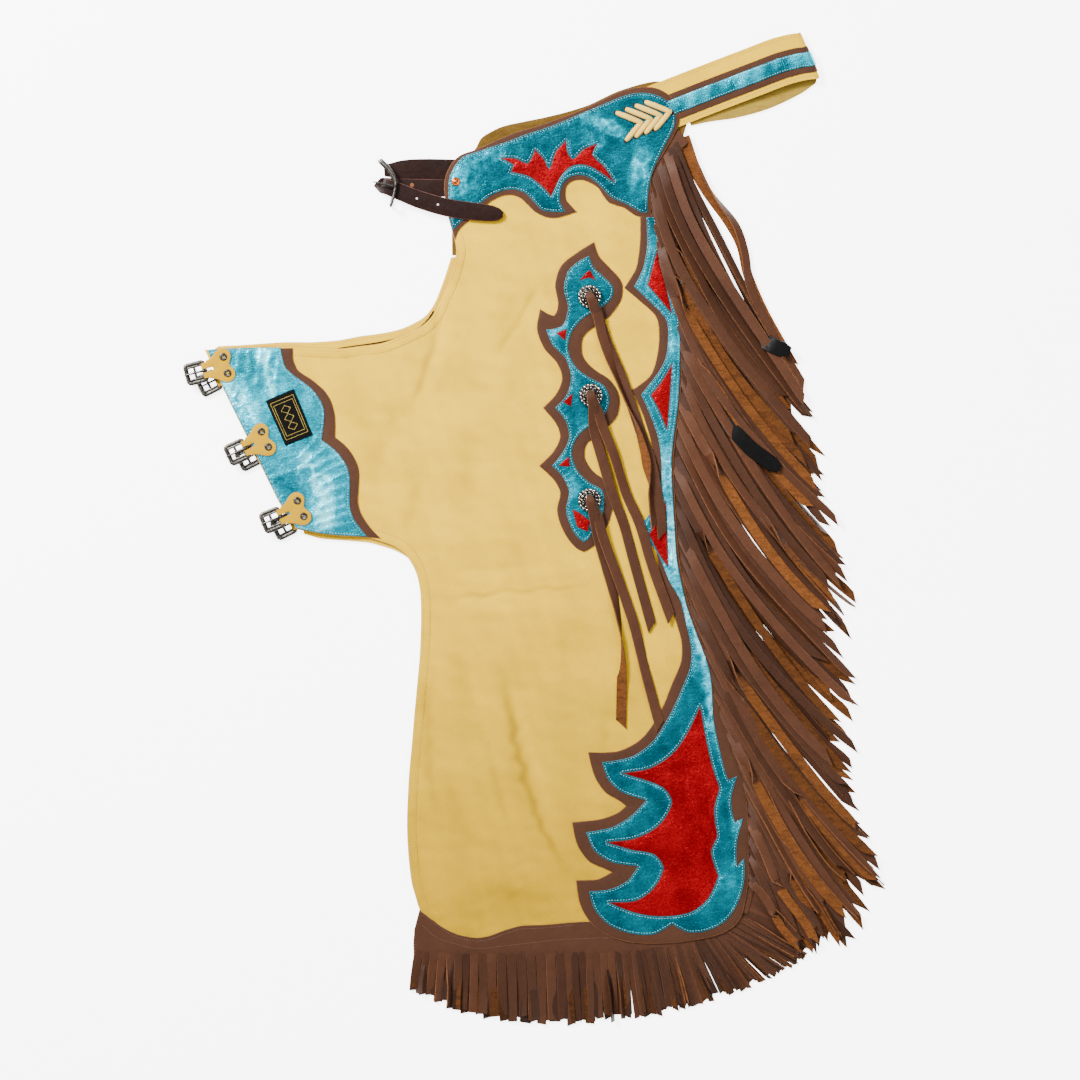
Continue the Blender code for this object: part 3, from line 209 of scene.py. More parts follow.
def smooth_loop(loop, step=2.5, corner=40):
    """A loop made smooth between its corners."""
    into = loop - np.roll(loop, 1, axis=0)
    out = np.roll(loop, -1, axis=0) - loop
    turn = np.abs((np.arctan2(out[:, 1], out[:, 0]) - np.arctan2(into[:, 1], into[:, 0]) + math.pi) % (2 * math.pi) - math.pi)
    return spline(loop, step, True, turn > math.radians(corner))


def outline(node, step=2.5, corner=40):
    return [smooth_loop(loop, step, corner) for loop in node_loops(node)]


def resampled(line, pitch, closed=False):
    """Places every pitch along a line, with the heading at each."""
    line = np.asarray(line, float)
    if closed:
        line = np.vstack((line, line[:1]))
    lengths = np.linalg.norm(np.diff(line[:, :2], axis=0), axis=1)
    total = np.concatenate(([0], np.cumsum(lengths)))
    count = max(2, int(total[-1] / pitch))
    where = (np.arange(count) + 0.5) * total[-1] / count
    places = np.column_stack([np.interp(where, total, line[:, k]) for k in range(line.shape[1])])
    ahead = np.column_stack([np.interp(where + 0.4, total, line[:, k]) for k in range(2)])
    behind = np.column_stack([np.interp(where - 0.4, total, line[:, k]) for k in range(2)])
    heading = ahead - behind
    return places, heading / np.maximum(np.linalg.norm(heading, axis=1), 1e-9)[:, None]


def nearest(places, loops):
    """Distance from each place to the loops, and how far along them the nearest point is."""
    starts = np.concatenate(loops)
    ends = np.concatenate([np.roll(loop, -1, axis=0) for loop in loops])
    line = ends - starts
    squared = np.maximum((line**2).sum(axis=1), 1e-12)
    run = np.concatenate(([0], np.cumsum(np.sqrt(squared))[:-1]))
    away, along = np.empty(len(places)), np.empty(len(places))
    for i in range(0, len(places), 3000):
        offset = places[i:i + 3000, None, :] - starts[None]
        t = np.clip((offset * line).sum(axis=2) / squared, 0, 1)
        gap = ((offset - t[..., None] * line) ** 2).sum(axis=2)
        best = gap.argmin(axis=1)
        rows = np.arange(len(best))
        away[i:i + 3000] = np.sqrt(gap[rows, best])
        along[i:i + 3000] = run[best] + t[rows, best] * np.sqrt(squared[best])
    return away, along


def inside(places, loops):
    """Which grid places lie inside the loops, by the even-odd rule."""
    found = np.zeros(len(places), bool)
    x, y = places[:, 0], places[:, 1]
    for loop in loops:
        for (x1, y1), (x2, y2) in zip(loop, np.roll(loop, -1, axis=0)):
            if y1 != y2:
                crosses = (y1 > y) != (y2 > y)
                found ^= crosses & (x < x1 + (y - y1) * (x2 - x1) / (y2 - y1))
    return found


def inset_row(loops, distance, pitch):
    """Places at a distance inside the loops."""
    found = []
    for loop in loops:
        places, heading = resampled(loop, pitch, closed=True)
        normal = np.column_stack((-heading[:, 1], heading[:, 0]))
        found += [places + normal * distance, places - normal * distance]
    found = np.concatenate(found)
    found = found[inside(found, loops)]
    away = nearest(found, loops)[0]
    return found[away > 0.97 * distance]


def filling(loops, spacing):
    """A triangular lattice of places inside the loops."""
    low, high = loops[0].min(axis=0), loops[0].max(axis=0)
    rise_by = spacing * math.sqrt(3) / 2
    rows = []
    for j, y in enumerate(np.arange(low[1], high[1], rise_by)):
        x = np.arange(low[0] + (j % 2) * spacing / 2, high[0], spacing)
        rows.append(np.column_stack((x, np.full(len(x), y))))
    places = np.concatenate(rows)
    return places[inside(places, loops)]


# Building pieces

def make_piece(name, points, faces, materials, kinds=None, nodes=(), smooth=50, body="chaps", shades=None):
    """A piece of the scene from points in millimetres. It takes the place of the CAD nodes that it names."""
    mesh = bpy.data.meshes.new(name)
    mesh.from_pydata((np.asarray(points) * 0.001).tolist(), [], [list(map(int, f)) for f in faces])
    for material in materials:
        mesh.materials.append(material)
    if kinds is not None:
        mesh.polygons.foreach_set("material_index", np.asarray(kinds, np.int32))
    if shades is not None:
        mesh.attributes.new("shade", "FLOAT", "POINT")
        mesh.attributes["shade"].data.foreach_set("value", np.asarray(shades, np.float32))
    mesh.validate()
    mesh.shade_smooth()
    if smooth < 180:
        mesh.set_sharp_from_angle(angle=math.radians(smooth))
    piece = bpy.data.objects.new(name, mesh)
    bpy.context.scene.collection.objects.link(piece)
    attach(piece, body)
    if nodes:
        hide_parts(*nodes)
    return piece


def cut_size(loops):
    """Width, length and area of the cut, in metres. A long curved strip is given unrolled."""
    area = sum(abs(loop_area(loop)) * (1 if i == 0 else -1) for i, loop in enumerate(loops))
    area *= (GRID_MM * 0.001) ** 2
    best = None
    for degrees in range(0, 90, 5):
        angle = math.radians(degrees)
        turned = loops[0] @ np.array(((math.cos(angle), -math.sin(angle)), (math.sin(angle), math.cos(angle))))
        size = (turned.max(axis=0) - turned.min(axis=0)) * GRID_MM * 0.001
        if best is None or size[0] * size[1] < best[0] * best[1]:
            best = size
    width, length = sorted(best)
    if area < 0.3 * width * length:
        return (area / length, length), None
    return (width, length), area


def declare(loops):
    flat, area = cut_size(loops)
    flat = tuple(round(float(v), 4) for v in flat)


def sheet(name, loops, top, low, spacing, rows, materials, nodes=(), shape=rise, closed=True, relief=None, tone_and_painted_light=None):
    """A wall of leather: its face at top and its underside at low, each raised by the shape.

    relief(places, away, along) gives the face's own form, from the distance to the edge and
    the way along it.
    """
    fixed = np.concatenate(loops)
    edges, first = [], 0
    for loop in loops:
        size = len(loop)
        edges += [(first + i, first + (i + 1) % size) for i in range(size)]
        first += size
    extra = [inset_row(loops, distance, max(1.2, min(spacing, 2.5 * distance))) for distance in rows]
    lattice = filling(loops, spacing)
    clear = (max(rows) if rows else 0.0) + 0.5 * spacing
    lattice = lattice[nearest(lattice, loops)[0] > clear]
    places = np.concatenate([fixed, *extra, lattice])
    plane, _, triangles, _, _, _ = delaunay_2d_cdt([Vector(p) for p in places], edges, [], 0, 1e-4)
    plane = np.array([tuple(p) for p in plane])
    triangles = np.array([tuple(t) for t in triangles])
    triangles = triangles[inside(plane[triangles].mean(axis=1), loops)]
    used, index = np.unique(triangles, return_inverse=True)
    triangles, plane = index.reshape(-1, 3), plane[used]
    away, along = nearest(plane, loops)
    lifted = shape(plane)
    height = top + lifted - 0.35 * np.exp(-((away / 0.5) ** 2))
    if relief is not None:
        height = height + relief(plane, away, along)
    height = np.maximum(height, low + lifted + 0.1)
    over = millimetres(plane, height)
    directed = {(int(a), int(b)) for t in triangles for a, b in ((t[0], t[1]), (t[1], t[2]), (t[2], t[0]))}
    rim = [(a, b) for a, b in directed if (b, a) not in directed]
    up = loop_turns_up(over, triangles)
    faces = [t if up else t[::-1] for t in triangles.tolist()]
    kinds = (away[triangles].mean(axis=1) < 0.36).astype(int).tolist()
    count = len(plane)
    under = millimetres(plane, low + lifted)
    faces += [(a, a + count, b + count, b) if up else (a, b, b + count, a + count) for a, b in rim]
    kinds += [1] * len(rim)
    if closed:
        faces += [tuple(i + count for i in (t[::-1] if up else t)) for t in triangles.tolist()]
        kinds += [2 if len(materials) > 2 else 1] * len(triangles)
    points = np.vstack((over, under))
    if not closed:
        keep = sorted({i for pair in rim for i in pair})
        remap = {i + count: count + n for n, i in enumerate(keep)}
        faces = [tuple(remap.get(i, i) for i in f) for f in faces]
        points = np.vstack((over, under[keep]))
    shades = None
    # What is passed in here may hold painted shade and painted highlights as well as real colour changes; it becomes
    # the shade attribute.
    if tone_and_painted_light is not None:
        shades = tone_and_painted_light(plane)
        shades = np.concatenate((shades, shades if closed else shades[keep]))
    piece = make_piece(name, points, faces, materials, kinds, nodes, shades=shades)
    declare(loops)
    return piece


def loop_turns_up(points, triangles):
    a, b, c = (points[triangles[:, k]] for k in range(3))
    return float(np.cross(b - a, c - a)[:, 2].sum()) > 0


def ribbons(name, strips, materials, nodes=(), body="chaps", smooth=38):
    """Flat strips of leather. Each is (line in millimetres, roll in degrees, width, thick, crown, slant, shade)."""
    points, faces, kinds, shades = [], [], [], []
    for line, roll, width, thick, crown, slant, shade in strips:
        line = np.asarray(line, float)
        size = len(line)
        heading = np.gradient(line, axis=0)
        heading /= np.linalg.norm(heading, axis=1)[:, None]
        side = np.column_stack((heading[:, 1], -heading[:, 0], np.zeros(size)))
        weak = np.linalg.norm(side, axis=1) < 0.25
        side[weak] = 0
        for i in range(size):
            if weak[i] and i:
                side[i] = side[i - 1]
            if i and side[i] @ side[i - 1] < 0:
                side[i] = -side[i]
        side /= np.maximum(np.linalg.norm(side, axis=1), 1e-9)[:, None]
        up = np.cross(side, heading)
        roll = np.radians(np.broadcast_to(roll, size))[:, None]
        across = side * np.cos(roll) + up * np.sin(roll)
        normal = up * np.cos(roll) - side * np.sin(roll)
        half = (np.broadcast_to(width, size) / 2)[:, None]
        first = len(points)
        lift_by = normal * (thick / 2)
        bulge = normal * crown
        skew = np.zeros((size, 1))
        skew[-1] = slant
        rings = []
        for u, v in ((-1, 1), (-0.5, 2), (0.5, 2), (1, 1), (1, -1), (0, -1), (-1, -1)):
            reach = half * u + (0.28 * u if v < 0 else -0.22 * u if v == 1 else 0)
            rings.append(line + across * reach + lift_by * (1 if v > 0 else -1) + bulge * (v == 2) + heading * skew * u)
        block = np.stack(rings, axis=1)
        block[:, :, 2] += np.maximum(0, 0.15 - block[:, :, 2].min(axis=1))[:, None]
        points.extend(block.reshape(-1, 3))
        for i in range(size - 1):
            for j in range(7):
                m = (j + 1) % 7
                faces.append((first + 7 * i + m, first + 7 * i + j, first + 7 * i + 7 + j, first + 7 * i + 7 + m))
                kinds.append(0 if j < 3 else 1 if j in (4, 5) else 2)
        faces.append(tuple(first + j for j in range(7)))
        faces.append(tuple(first + 7 * (size - 1) + j for j in reversed(range(7))))
        kinds += [2, 2]
        shades += [shade] * (7 * size)
    kinds = np.minimum(kinds, len(materials) - 1)
    return make_piece(name, points, faces, materials, kinds, nodes, smooth, body, shades)


def stitches(name, rows, material, pitch=2.75, length=0.74, radius=0.42):
    """Sewing: a small thread for each stitch along rows of (grid line, height function, closed)."""
    points, faces = [], []
    for line, height, closed in rows:
        places, heading = resampled(line, pitch, closed)
        centres = millimetres(places[:, :2], height(places[:, :2]))
        ahead = np.column_stack((heading[:, 0], -heading[:, 1], np.zeros(len(heading)))) * (pitch * GRID_MM * length / 2)
        side = np.column_stack((ahead[:, 1], -ahead[:, 0], np.zeros(len(ahead))))
        side /= np.maximum(np.linalg.norm(side, axis=1), 1e-9)[:, None]
        up = np.array((0, 0, 1.0))
        for centre, forward, across in zip(centres, ahead, side):
            first = len(points)
            points.append(centre - forward - up * 0.25)
            for share in (-0.55, 0.55):
                for u, v in ((1, 0), (0, 1), (-1, 0), (0, -1)):
                    points.append(centre + forward * share + (across * u + up * v) * radius)
            points.append(centre + forward - up * 0.25)
            for j in range(4):
                m = (j + 1) % 4
                faces.append((first, first + 1 + m, first + 1 + j))
                faces.append((first + 1 + j, first + 1 + m, first + 5 + m, first + 5 + j))
                faces.append((first + 9, first + 5 + j, first + 5 + m))
    return make_piece(name, points, faces, [material], smooth=180)


def lathe(rows, sides, centre, wave=0.0, petals=0):
    """Points and faces of a turned piece on an upright axis. The wave scallops its outer rows."""
    angles = np.arange(sides) * 2 * math.pi / sides
    points, faces = [], []
    for radius, height, depth in rows:
        reach = radius * (1 + wave * np.cos(petals * angles) * (radius > 0.8 * rows[0][0]))
        lift_by = height + depth * np.cos(petals * angles)
        points.append(np.column_stack((reach * np.cos(angles), reach * np.sin(angles), lift_by)) + centre)
    for i in range(len(rows) - 1):
        for j in range(sides):
            m = (j + 1) % sides
            faces.append((i * sides + j, i * sides + m, (i + 1) * sides + m, (i + 1) * sides + j))
    faces.append(tuple((len(rows) - 1) * sides + j for j in range(sides)))
    faces.append(tuple(reversed(range(sides))))
    return np.concatenate(points), faces


def bar(line, radius, sides=10, closed=False, up=(0, 0, 1), ribs=0.0, squash=1.0):
    """Points and faces of a round bar along points in millimetres."""
    line = np.asarray(line, float)
    size = len(line)
    if closed:
        heading = np.roll(line, -1, axis=0) - np.roll(line, 1, axis=0)
    else:
        heading = np.gradient(line, axis=0)
    heading /= np.linalg.norm(heading, axis=1)[:, None]
    side = np.cross(heading, np.asarray(up, float))
    side /= np.maximum(np.linalg.norm(side, axis=1), 1e-9)[:, None]
    over = np.cross(side, heading)
    radius = np.broadcast_to(radius, size) * (1 + ribs * np.cos(np.arange(size) * math.pi))
    angles = (np.arange(sides) + 0.5) * 2 * math.pi / sides
    ring = side[:, None, :] * np.cos(angles)[None, :, None] + over[:, None, :] * np.sin(angles)[None, :, None] * squash
    points = (line[:, None, :] + ring * radius[:, None, None]).reshape(-1, 3)
    faces = []
    for i in range(size if closed else size - 1):
        k = (i + 1) % size
        for j in range(sides):
            m = (j + 1) % sides
            faces.append((i * sides + j, i * sides + m, k * sides + m, k * sides + j))
    if not closed:
        faces.append(tuple(reversed(range(sides))))
        faces.append(tuple((size - 1) * sides + j for j in range(sides)))
    return points, faces


def merged(parts):
    points, faces, first = [], [], 0
    for part_points, part_faces in parts:
        points.append(np.asarray(part_points))
        faces += [tuple(i + first for i in face) for face in part_faces]
        first += len(part_points)
    return np.concatenate(points), faces


# Materials

class Look:
    """A material's node tree, with short ways to add what the leathers need."""

    def __init__(self, name, colour, roughness, metallic=0.0):
        self.material = bpy.data.materials.new(name)
        self.material.use_nodes = True
        self.tree = self.material.node_tree
        self.shader = self.tree.nodes["Principled BSDF"]
        self.shader.inputs["Base Color"].default_value = (*colour, 1)
        self.shader.inputs["Roughness"].default_value = roughness
        self.shader.inputs["Metallic"].default_value = metallic
        self.place = self.add("ShaderNodeTexCoord").outputs["Object"]
        self.colour = None
        self.bump = None

    def add(self, kind, **values):
        node = self.tree.nodes.new(kind)
        for key, value in values.items():
            if hasattr(node, key):
                setattr(node, key, value)
            else:
                node.inputs[key.replace("_", " ")].default_value = value
        return node

    def link(self, source, target):
        self.tree.links.new(source, target)

    def noise(self, scale, detail=3.0, distortion=0.0, stretch=None, turn=0.0):
        """Noise with this many features a metre, drawn out along one axis if stretch says so."""
        place = self.place
        if stretch:
            mapping = self.add("ShaderNodeMapping")
            mapping.inputs["Scale"].default_value = stretch
            mapping.inputs["Rotation"].default_value = (0, 0, math.radians(turn))
            self.link(place, mapping.inputs["Vector"])
            place = mapping.outputs["Vector"]
        node = self.add("ShaderNodeTexNoise", Scale=scale, Detail=detail, Distortion=distortion)
        self.link(place, node.inputs["Vector"])
        return node.outputs["Fac"]

    def cells(self, scale, feature="F1"):
        node = self.add("ShaderNodeTexVoronoi", feature=feature, Scale=scale)
        self.link(self.place, node.inputs["Vector"])
        return node.outputs["Distance"]

    def ranged(self, value, low, high, to_low, to_high):
        node = self.add("ShaderNodeMapRange")
        for key, number in (("From Min", low), ("From Max", high), ("To Min", to_low), ("To Max", to_high)):
            node.inputs[key].default_value = number
        self.link(value, node.inputs["Value"])
        return node.outputs["Result"]

    def tint(self, factor, colour, blend="MIX"):
        """Mixes a colour over what the base colour is so far, by a factor from a texture."""
        node = self.add("ShaderNodeMix", data_type="RGBA", blend_type=blend)
        self.link(factor, node.inputs["Factor"])
        if self.colour is None:
            node.inputs[6].default_value = self.shader.inputs["Base Color"].default_value[:]
        else:
            self.link(self.colour, node.inputs[6])
        node.inputs[7].default_value = (*colour, 1)
        self.colour = node.outputs[2]
        self.link(self.colour, self.shader.inputs["Base Color"])

    def shade(self):
        """Multiplies the colour by the shade attribute: a strip's own shade, or a piece's colour changes, which in
        places hold painted shade and painted highlights.
        """
        node = self.add("ShaderNodeMix", data_type="RGBA", blend_type="MULTIPLY")
        node.inputs["Factor"].default_value = 1.0
        layer = self.add("ShaderNodeAttribute", attribute_name="shade")
        if self.colour is None:
            node.inputs[6].default_value = self.shader.inputs["Base Color"].default_value[:]
        else:
            self.link(self.colour, node.inputs[6])
        self.link(layer.outputs["Color"], node.inputs[7])
        self.colour = node.outputs[2]
        self.link(self.colour, self.shader.inputs["Base Color"])

    def bumps(self, height, depth_mm, strength=1.0, mask=None):
        node = self.add("ShaderNodeBump", Strength=strength, Distance=depth_mm * 0.001)
        if mask is not None:
            self.link(mask, node.inputs["Strength"])
        self.link(height, node.inputs["Height"])
        if self.bump is not None:
            self.link(self.bump, node.inputs["Normal"])
        self.bump = node.outputs["Normal"]
        self.link(self.bump, self.shader.inputs["Normal"])

    def rough(self, value, low, high):
        self.link(self.ranged(value, 0.3, 0.7, low, high), self.shader.inputs["Roughness"])

    def vertical(self):
        split = self.add("ShaderNodeSeparateXYZ")
        self.link(self.place, split.inputs["Vector"])
        return split.outputs["Y"]


def grain_leather(name, colour, dark, roughness=0.55, grain=0.16, shaded=False):
    look = Look(name, colour, roughness)
    look.tint(look.ranged(look.noise(22, 4, 0.6), 0.4, 0.75, 0.0, 0.5), dark)
    look.tint(look.ranged(look.noise(160, 3), 0.45, 0.8, 0.0, 0.35), dark)
    if shaded:
        look.shade()
    look.bumps(look.noise(90, 4, 0.5), 0.5, 0.5)
    look.bumps(look.cells(850), grain, 0.8)
    look.bumps(look.noise(2200, 2), 0.06, 0.6)
    look.rough(look.noise(260, 3), roughness - 0.07, roughness + 0.09)
    look.shader.inputs["Specular IOR Level"].default_value = 0.12
    return look


def suede(name, colour, dark, light, shaded=False):
    look = Look(name, colour, 0.95)
    look.tint(look.ranged(look.noise(60, 5, 1.2, (1.0, 3.0, 1.0)), 0.35, 0.7, 0.0, 0.75), dark)
    look.tint(look.ranged(look.noise(900, 4, 0.8), 0.5, 0.78, 0.0, 0.7), light)
    if shaded:
        look.shade()
    look.bumps(look.noise(1400, 4, 0.4), 0.3, 0.9)
    look.bumps(look.noise(120, 3, 0.8), 0.5, 0.5)
    look.shader.inputs["Specular IOR Level"].default_value = 0.1
    look.shader.inputs["Sheen Weight"].default_value = 0.04
    look.shader.inputs["Sheen Roughness"].default_value = 0.5
    return look


def foil(name, colour, deep, light, painted_glare):
    look = Look(name, colour, 0.3, 0.62)
    look.tint(look.ranged(look.noise(24, 4, 1.0), 0.42, 0.62, 0.0, 0.5), deep)
    look.tint(look.ranged(look.noise(760, 4, 1.5), 0.5, 0.72, 0.0, 0.6), light)
    look.tint(look.ranged(look.noise(520, 4, 1.0), 0.48, 0.66, 0.0, 0.6), deep)
    # The shade attribute is painted light: it paints highlights and shade on the foil, and where it runs high the
    # colour turns towards the glare colour as a painted highlight.
    look.shade()
    layer = look.add("ShaderNodeAttribute", attribute_name="shade")
    look.tint(look.ranged(layer.outputs["Fac"], 1.5, 3.4, 0.0, 0.6), painted_glare)
    look.bumps(look.noise(26, 2, 0.6), 3.5, 0.9)
    look.bumps(look.noise(95, 3, 2.2, (1.0, 2.2, 1.0), 30), 0.8, 0.7)
    look.bumps(look.noise(780, 3, 1.2), 0.15, 1.0)
    look.rough(look.noise(300, 3), 0.2, 0.34)
    look.shader.inputs["Specular IOR Level"].default_value = 0.05
    return look


TAN = grain_leather("tan_leather", (0.68, 0.405, 0.004), (0.58, 0.34, 0.004), 0.6, 0.22)
TAN_LEG = grain_leather("tan_leg_leather", (0.68, 0.405, 0.004), (0.59, 0.345, 0.004), 0.6, 0.26, shaded=True)
# Darker towards the bottom of the leg: partly the hide's own colour, partly painted shade for the light falling off.
TAN_LEG.tint(TAN_LEG.ranged(TAN_LEG.vertical(), 0.0, -0.46, 0.0, 0.95), (0.56, 0.54, 0.5), "MULTIPLY")
TAN_EDGE = grain_leather("tan_edge", (0.34, 0.19, 0.04), (0.2, 0.1, 0.02), 0.8)
BROWN = grain_leather("brown_leather", (0.052, 0.0195, 0.009), (0.032, 0.0115, 0.0055), 0.6, 0.16)
BROWN_SHADED = grain_leather("fringe_leather", (0.060, 0.0218, 0.0098), (0.032, 0.0115, 0.0055), 0.5, 0.16, shaded=True)
RUST = suede("rust_suede", (0.115, 0.036, 0.007), (0.032, 0.010, 0.003), (0.25, 0.09, 0.02), shaded=True)
CUT_EDGE = suede("cut_edge", (0.16, 0.06, 0.022), (0.07, 0.025, 0.01), (0.28, 0.125, 0.05))
CUT_SHADED = suede("fringe_edge", (0.14, 0.05, 0.018), (0.05, 0.018, 0.007), (0.27, 0.12, 0.045), shaded=True)
LINING = suede("lining_suede", (0.11, 0.058, 0.008), (0.06, 0.029, 0.004), (0.17, 0.1, 0.02))
BELT_LINING = suede("belt_suede", (0.27, 0.175, 0.022), (0.19, 0.115, 0.014), (0.36, 0.25, 0.05))
TEAL = foil("teal_foil", (0.0, 0.27, 0.36), (0.0, 0.11, 0.17), (0.0, 0.55, 0.68), (0.35, 0.95, 1.0))
TEAL_EDGE = Look("teal_edge", (0.003, 0.05, 0.08), 0.5)
TEAL_EDGE.tint(TEAL_EDGE.noise(300), (0.01, 0.1, 0.14))
RED = foil("red_foil", (0.34, 0.0, 0.006), (0.11, 0.0, 0.002), (0.5, 0.015, 0.012), (0.9, 0.2, 0.1))
RED_EDGE = Look("red_edge", (0.07, 0.0, 0.001), 0.5)
RED_EDGE.tint(RED_EDGE.noise(300), (0.03, 0.0, 0.0))
STRAP = grain_leather("strap_leather", (0.0105, 0.0026, 0.0012), (0.004, 0.001, 0.0009), 0.42, 0.1)
STRAP_EDGE = suede("strap_edge", (0.16, 0.05, 0.04), (0.06, 0.018, 0.014), (0.34, 0.15, 0.12))
LACE = grain_leather("lace_leather", (0.72, 0.47, 0.085), (0.52, 0.31, 0.05), 0.6, 0.1)
TAB = grain_leather("tab_leather", (0.44, 0.235, 0.001), (0.35, 0.18, 0.001), 0.6, 0.1)
for look in (TAN, TAN_LEG, TAB):
    look.shader.inputs["Specular IOR Level"].default_value = 0.03
BLACK = grain_leather("black_leather", (0.0022, 0.002, 0.002), (0.004, 0.0036, 0.0036), 0.5, 0.12)
BLACK.shader.inputs["Specular IOR Level"].default_value = 0.07
LABEL_CLOTH = Look("label_cloth", (0.002, 0.0018, 0.0018), 0.8)
LABEL_CLOTH.shader.inputs["Specular IOR Level"].default_value = 0.05
LABEL_CLOTH.bumps(LABEL_CLOTH.noise(1500, 2, 0, (1.0, 6.0, 1.0), 24), 0.2, 0.8)
LABEL_CLOTH.tint(LABEL_CLOTH.ranged(LABEL_CLOTH.noise(1500, 2, 0, (1.0, 6.0, 1.0), 24), 0.4, 0.8, 0, 0.6), (0.01, 0.009, 0.007))
GOLD_THREAD = Look("gold_thread", (0.30, 0.21, 0.02), 0.5)
GOLD_THREAD.tint(GOLD_THREAD.noise(1500), (0.5, 0.38, 0.08))
PALE_THREAD = Look("pale_thread", (0.12, 0.46, 0.56), 0.45)
PALE_THREAD.tint(PALE_THREAD.noise(900), (0.55, 0.8, 0.85))
TAN_THREAD = Look("tan_thread", (0.34, 0.2, 0.03), 0.7)
TAN_THREAD.tint(TAN_THREAD.noise(900), (0.2, 0.115, 0.018))
BROWN_THREAD = Look("brown_thread", (0.13, 0.06, 0.03), 0.7)
BROWN_THREAD.tint(BROWN_THREAD.noise(900), (0.07, 0.03, 0.015))
NICKEL = Look("nickel", (0.105, 0.098, 0.086), 0.3, 1.0)
NICKEL.tint(NICKEL.ranged(NICKEL.noise(420, 4, 1.0), 0.38, 0.60, 0.0, 0.85), (0.014, 0.012, 0.010))
NICKEL.bumps(NICKEL.noise(700, 3, 0.5), 0.12, 0.7)
NICKEL.rough(NICKEL.noise(500), 0.3, 0.5)
BRIGHT = Look("bright_silver", (0.62, 0.60, 0.56), 0.16, 1.0)
BRIGHT.tint(BRIGHT.ranged(BRIGHT.noise(700), 0.5, 0.7, 0.0, 0.8), (0.25, 0.22, 0.19))
BRIGHT.bumps(BRIGHT.noise(900, 3), 0.15, 0.7)
SILVER = Look("engraved_silver", (0.11, 0.10, 0.088), 0.14, 1.0)
SILVER.tint(SILVER.ranged(SILVER.cells(520), 0.22, 0.5, 0.0, 0.95), (0.02, 0.014, 0.011))
SILVER.bumps(SILVER.cells(520), 0.35, 0.9)
SILVER.rough(SILVER.noise(500), 0.1, 0.25)
COPPER = Look("copper", (0.55, 0.13, 0.03), 0.28, 1.0)
COPPER.tint(COPPER.ranged(COPPER.noise(600, 3), 0.45, 0.7, 0.0, 0.5), (0.25, 0.05, 0.01))
COPPER.bumps(COPPER.noise(900), 0.1, 0.6)
HOLE_PAINTED_SHADE = Look("hole_painted_shade", (0.0015, 0.001, 0.001), 0.9)
HOLE_PAINTED_SHADE.tint(HOLE_PAINTED_SHADE.noise(800), (0.004, 0.003, 0.002))
HOLE_PAINTED_GLINT = Look("hole_painted_glint", (0.5, 0.42, 0.38), 0.5)
HOLE_PAINTED_GLINT.tint(HOLE_PAINTED_GLINT.noise(900), (0.75, 0.7, 0.66))
GAP_SUEDE_PAINTED_SHADE = suede("gap_suede_painted_shade", (0.035, 0.018, 0.003), (0.015, 0.007, 0.001), (0.06, 0.035, 0.008))


def mats(*looks):
    return [look.material for look in looks]


# The legs

def leg_tone_and_painted_crease_shade(places):
    """The tan hide's colour: a little darker down in each crease as painted shade, a little lighter on each ridge as a
    painted highlight, and uneven all over.
    """
    depth = sum(crease[2] * crease_shape(places, crease) for crease in CREASES)
    tone_and_painted_light = 1 + 0.26 * np.clip(depth, -1.6, 0) + 0.08 * np.maximum(depth, 0)
    return np.clip(tone_and_painted_light + 0.05 * waves(places, 60, 15) + 0.03 * waves(places, 18, 16), 0.35, 1.2)


def leg_relief(places, away, along):
    """A turned edge with its two rows of sewing, and a little unevenness."""
    turned = np.clip(1 - np.abs(places[:, 0] - 700) / 1e6, 0, 1)
    front = ((places[:, 0] < 470) | (places[:, 1] < 300)) & (places[:, 1] < 915)
    fold = np.where(front, 1.0, 0.0)
    groove = -0.32 * np.exp(-(((away - 9.3) / 0.9) ** 2)) - 0.18 * np.exp(-(((away - 2.6) / 0.7) ** 2))
    step = 0.22 * (1 - smoothstep((away - 8.6) / 1.8))
    pucker = 0.10 * np.sin(along * 0.9 + 2 * waves(places, 40, 5)) * np.exp(-(((away - 9.5) / 5) ** 2))
    near_hem = np.exp(-(((places[:, 1] - 905) / 55) ** 2))
    wrinkles = 0.16 * near_hem * waves(places * (1.0, 0.55), 11, 8)
    return turned * fold * (groove + step + pucker) + wrinkles + 0.22 * waves(places, 46, 3) + 0.07 * waves(places, 15, 4)


LEFT_LEG = outline("left_leg", 3.0, 34)
sheet("upper_leg", LEFT_LEG, 5.3, 3.3, 2.8, (0.5, 1.2, 2.6, 4.0, 8.3, 9.3, 10.4), mats(TAN_LEG, TAN_EDGE, LINING), ["left_leg"],
      relief=leg_relief, tone_and_painted_light=leg_tone_and_painted_crease_shade)
RIGHT_LEG = outline("right_leg", 3.0, 34)
sheet("lower_leg", RIGHT_LEG, 3.0, 0.0, 16, (0.5, 1.2, 4.0, 9.0), mats(TAN, TAN_EDGE, TAN), ["right_leg"], shape=level)
RIGHT_YOKE = outline("right_yoke", 3.0, 34)
sheet("lower_yoke", RIGHT_YOKE, 3.0, 0.0, 8, (0.5, 1.2, 4.0), mats(LINING, CUT_EDGE, LINING), ["right_yoke"], shape=level)


# A very dark suede strip in the gap between the layers at the wing's top: the flesh side there, much darkened as
# painted shade for the shadow in the gap.
GAP_LINE = spline(((338, 349, 2.0), (346, 348.5, 3.5), (380, 344, 4.5), (400, 339.5, 5.0), (421, 329.5, 6.0), (430, 320, 5.0), (434, 311, 2.0)), 3)
ribbons("layer_gap_painted_shade", [(millimetres(GAP_LINE[:, :2], 3.5), 0, GAP_LINE[:, 2] * GRID_MM, 0.6, 0.05, 0, 1.0)], mats(GAP_SUEDE_PAINTED_SHADE, GAP_SUEDE_PAINTED_SHADE, GAP_SUEDE_PAINTED_SHADE))


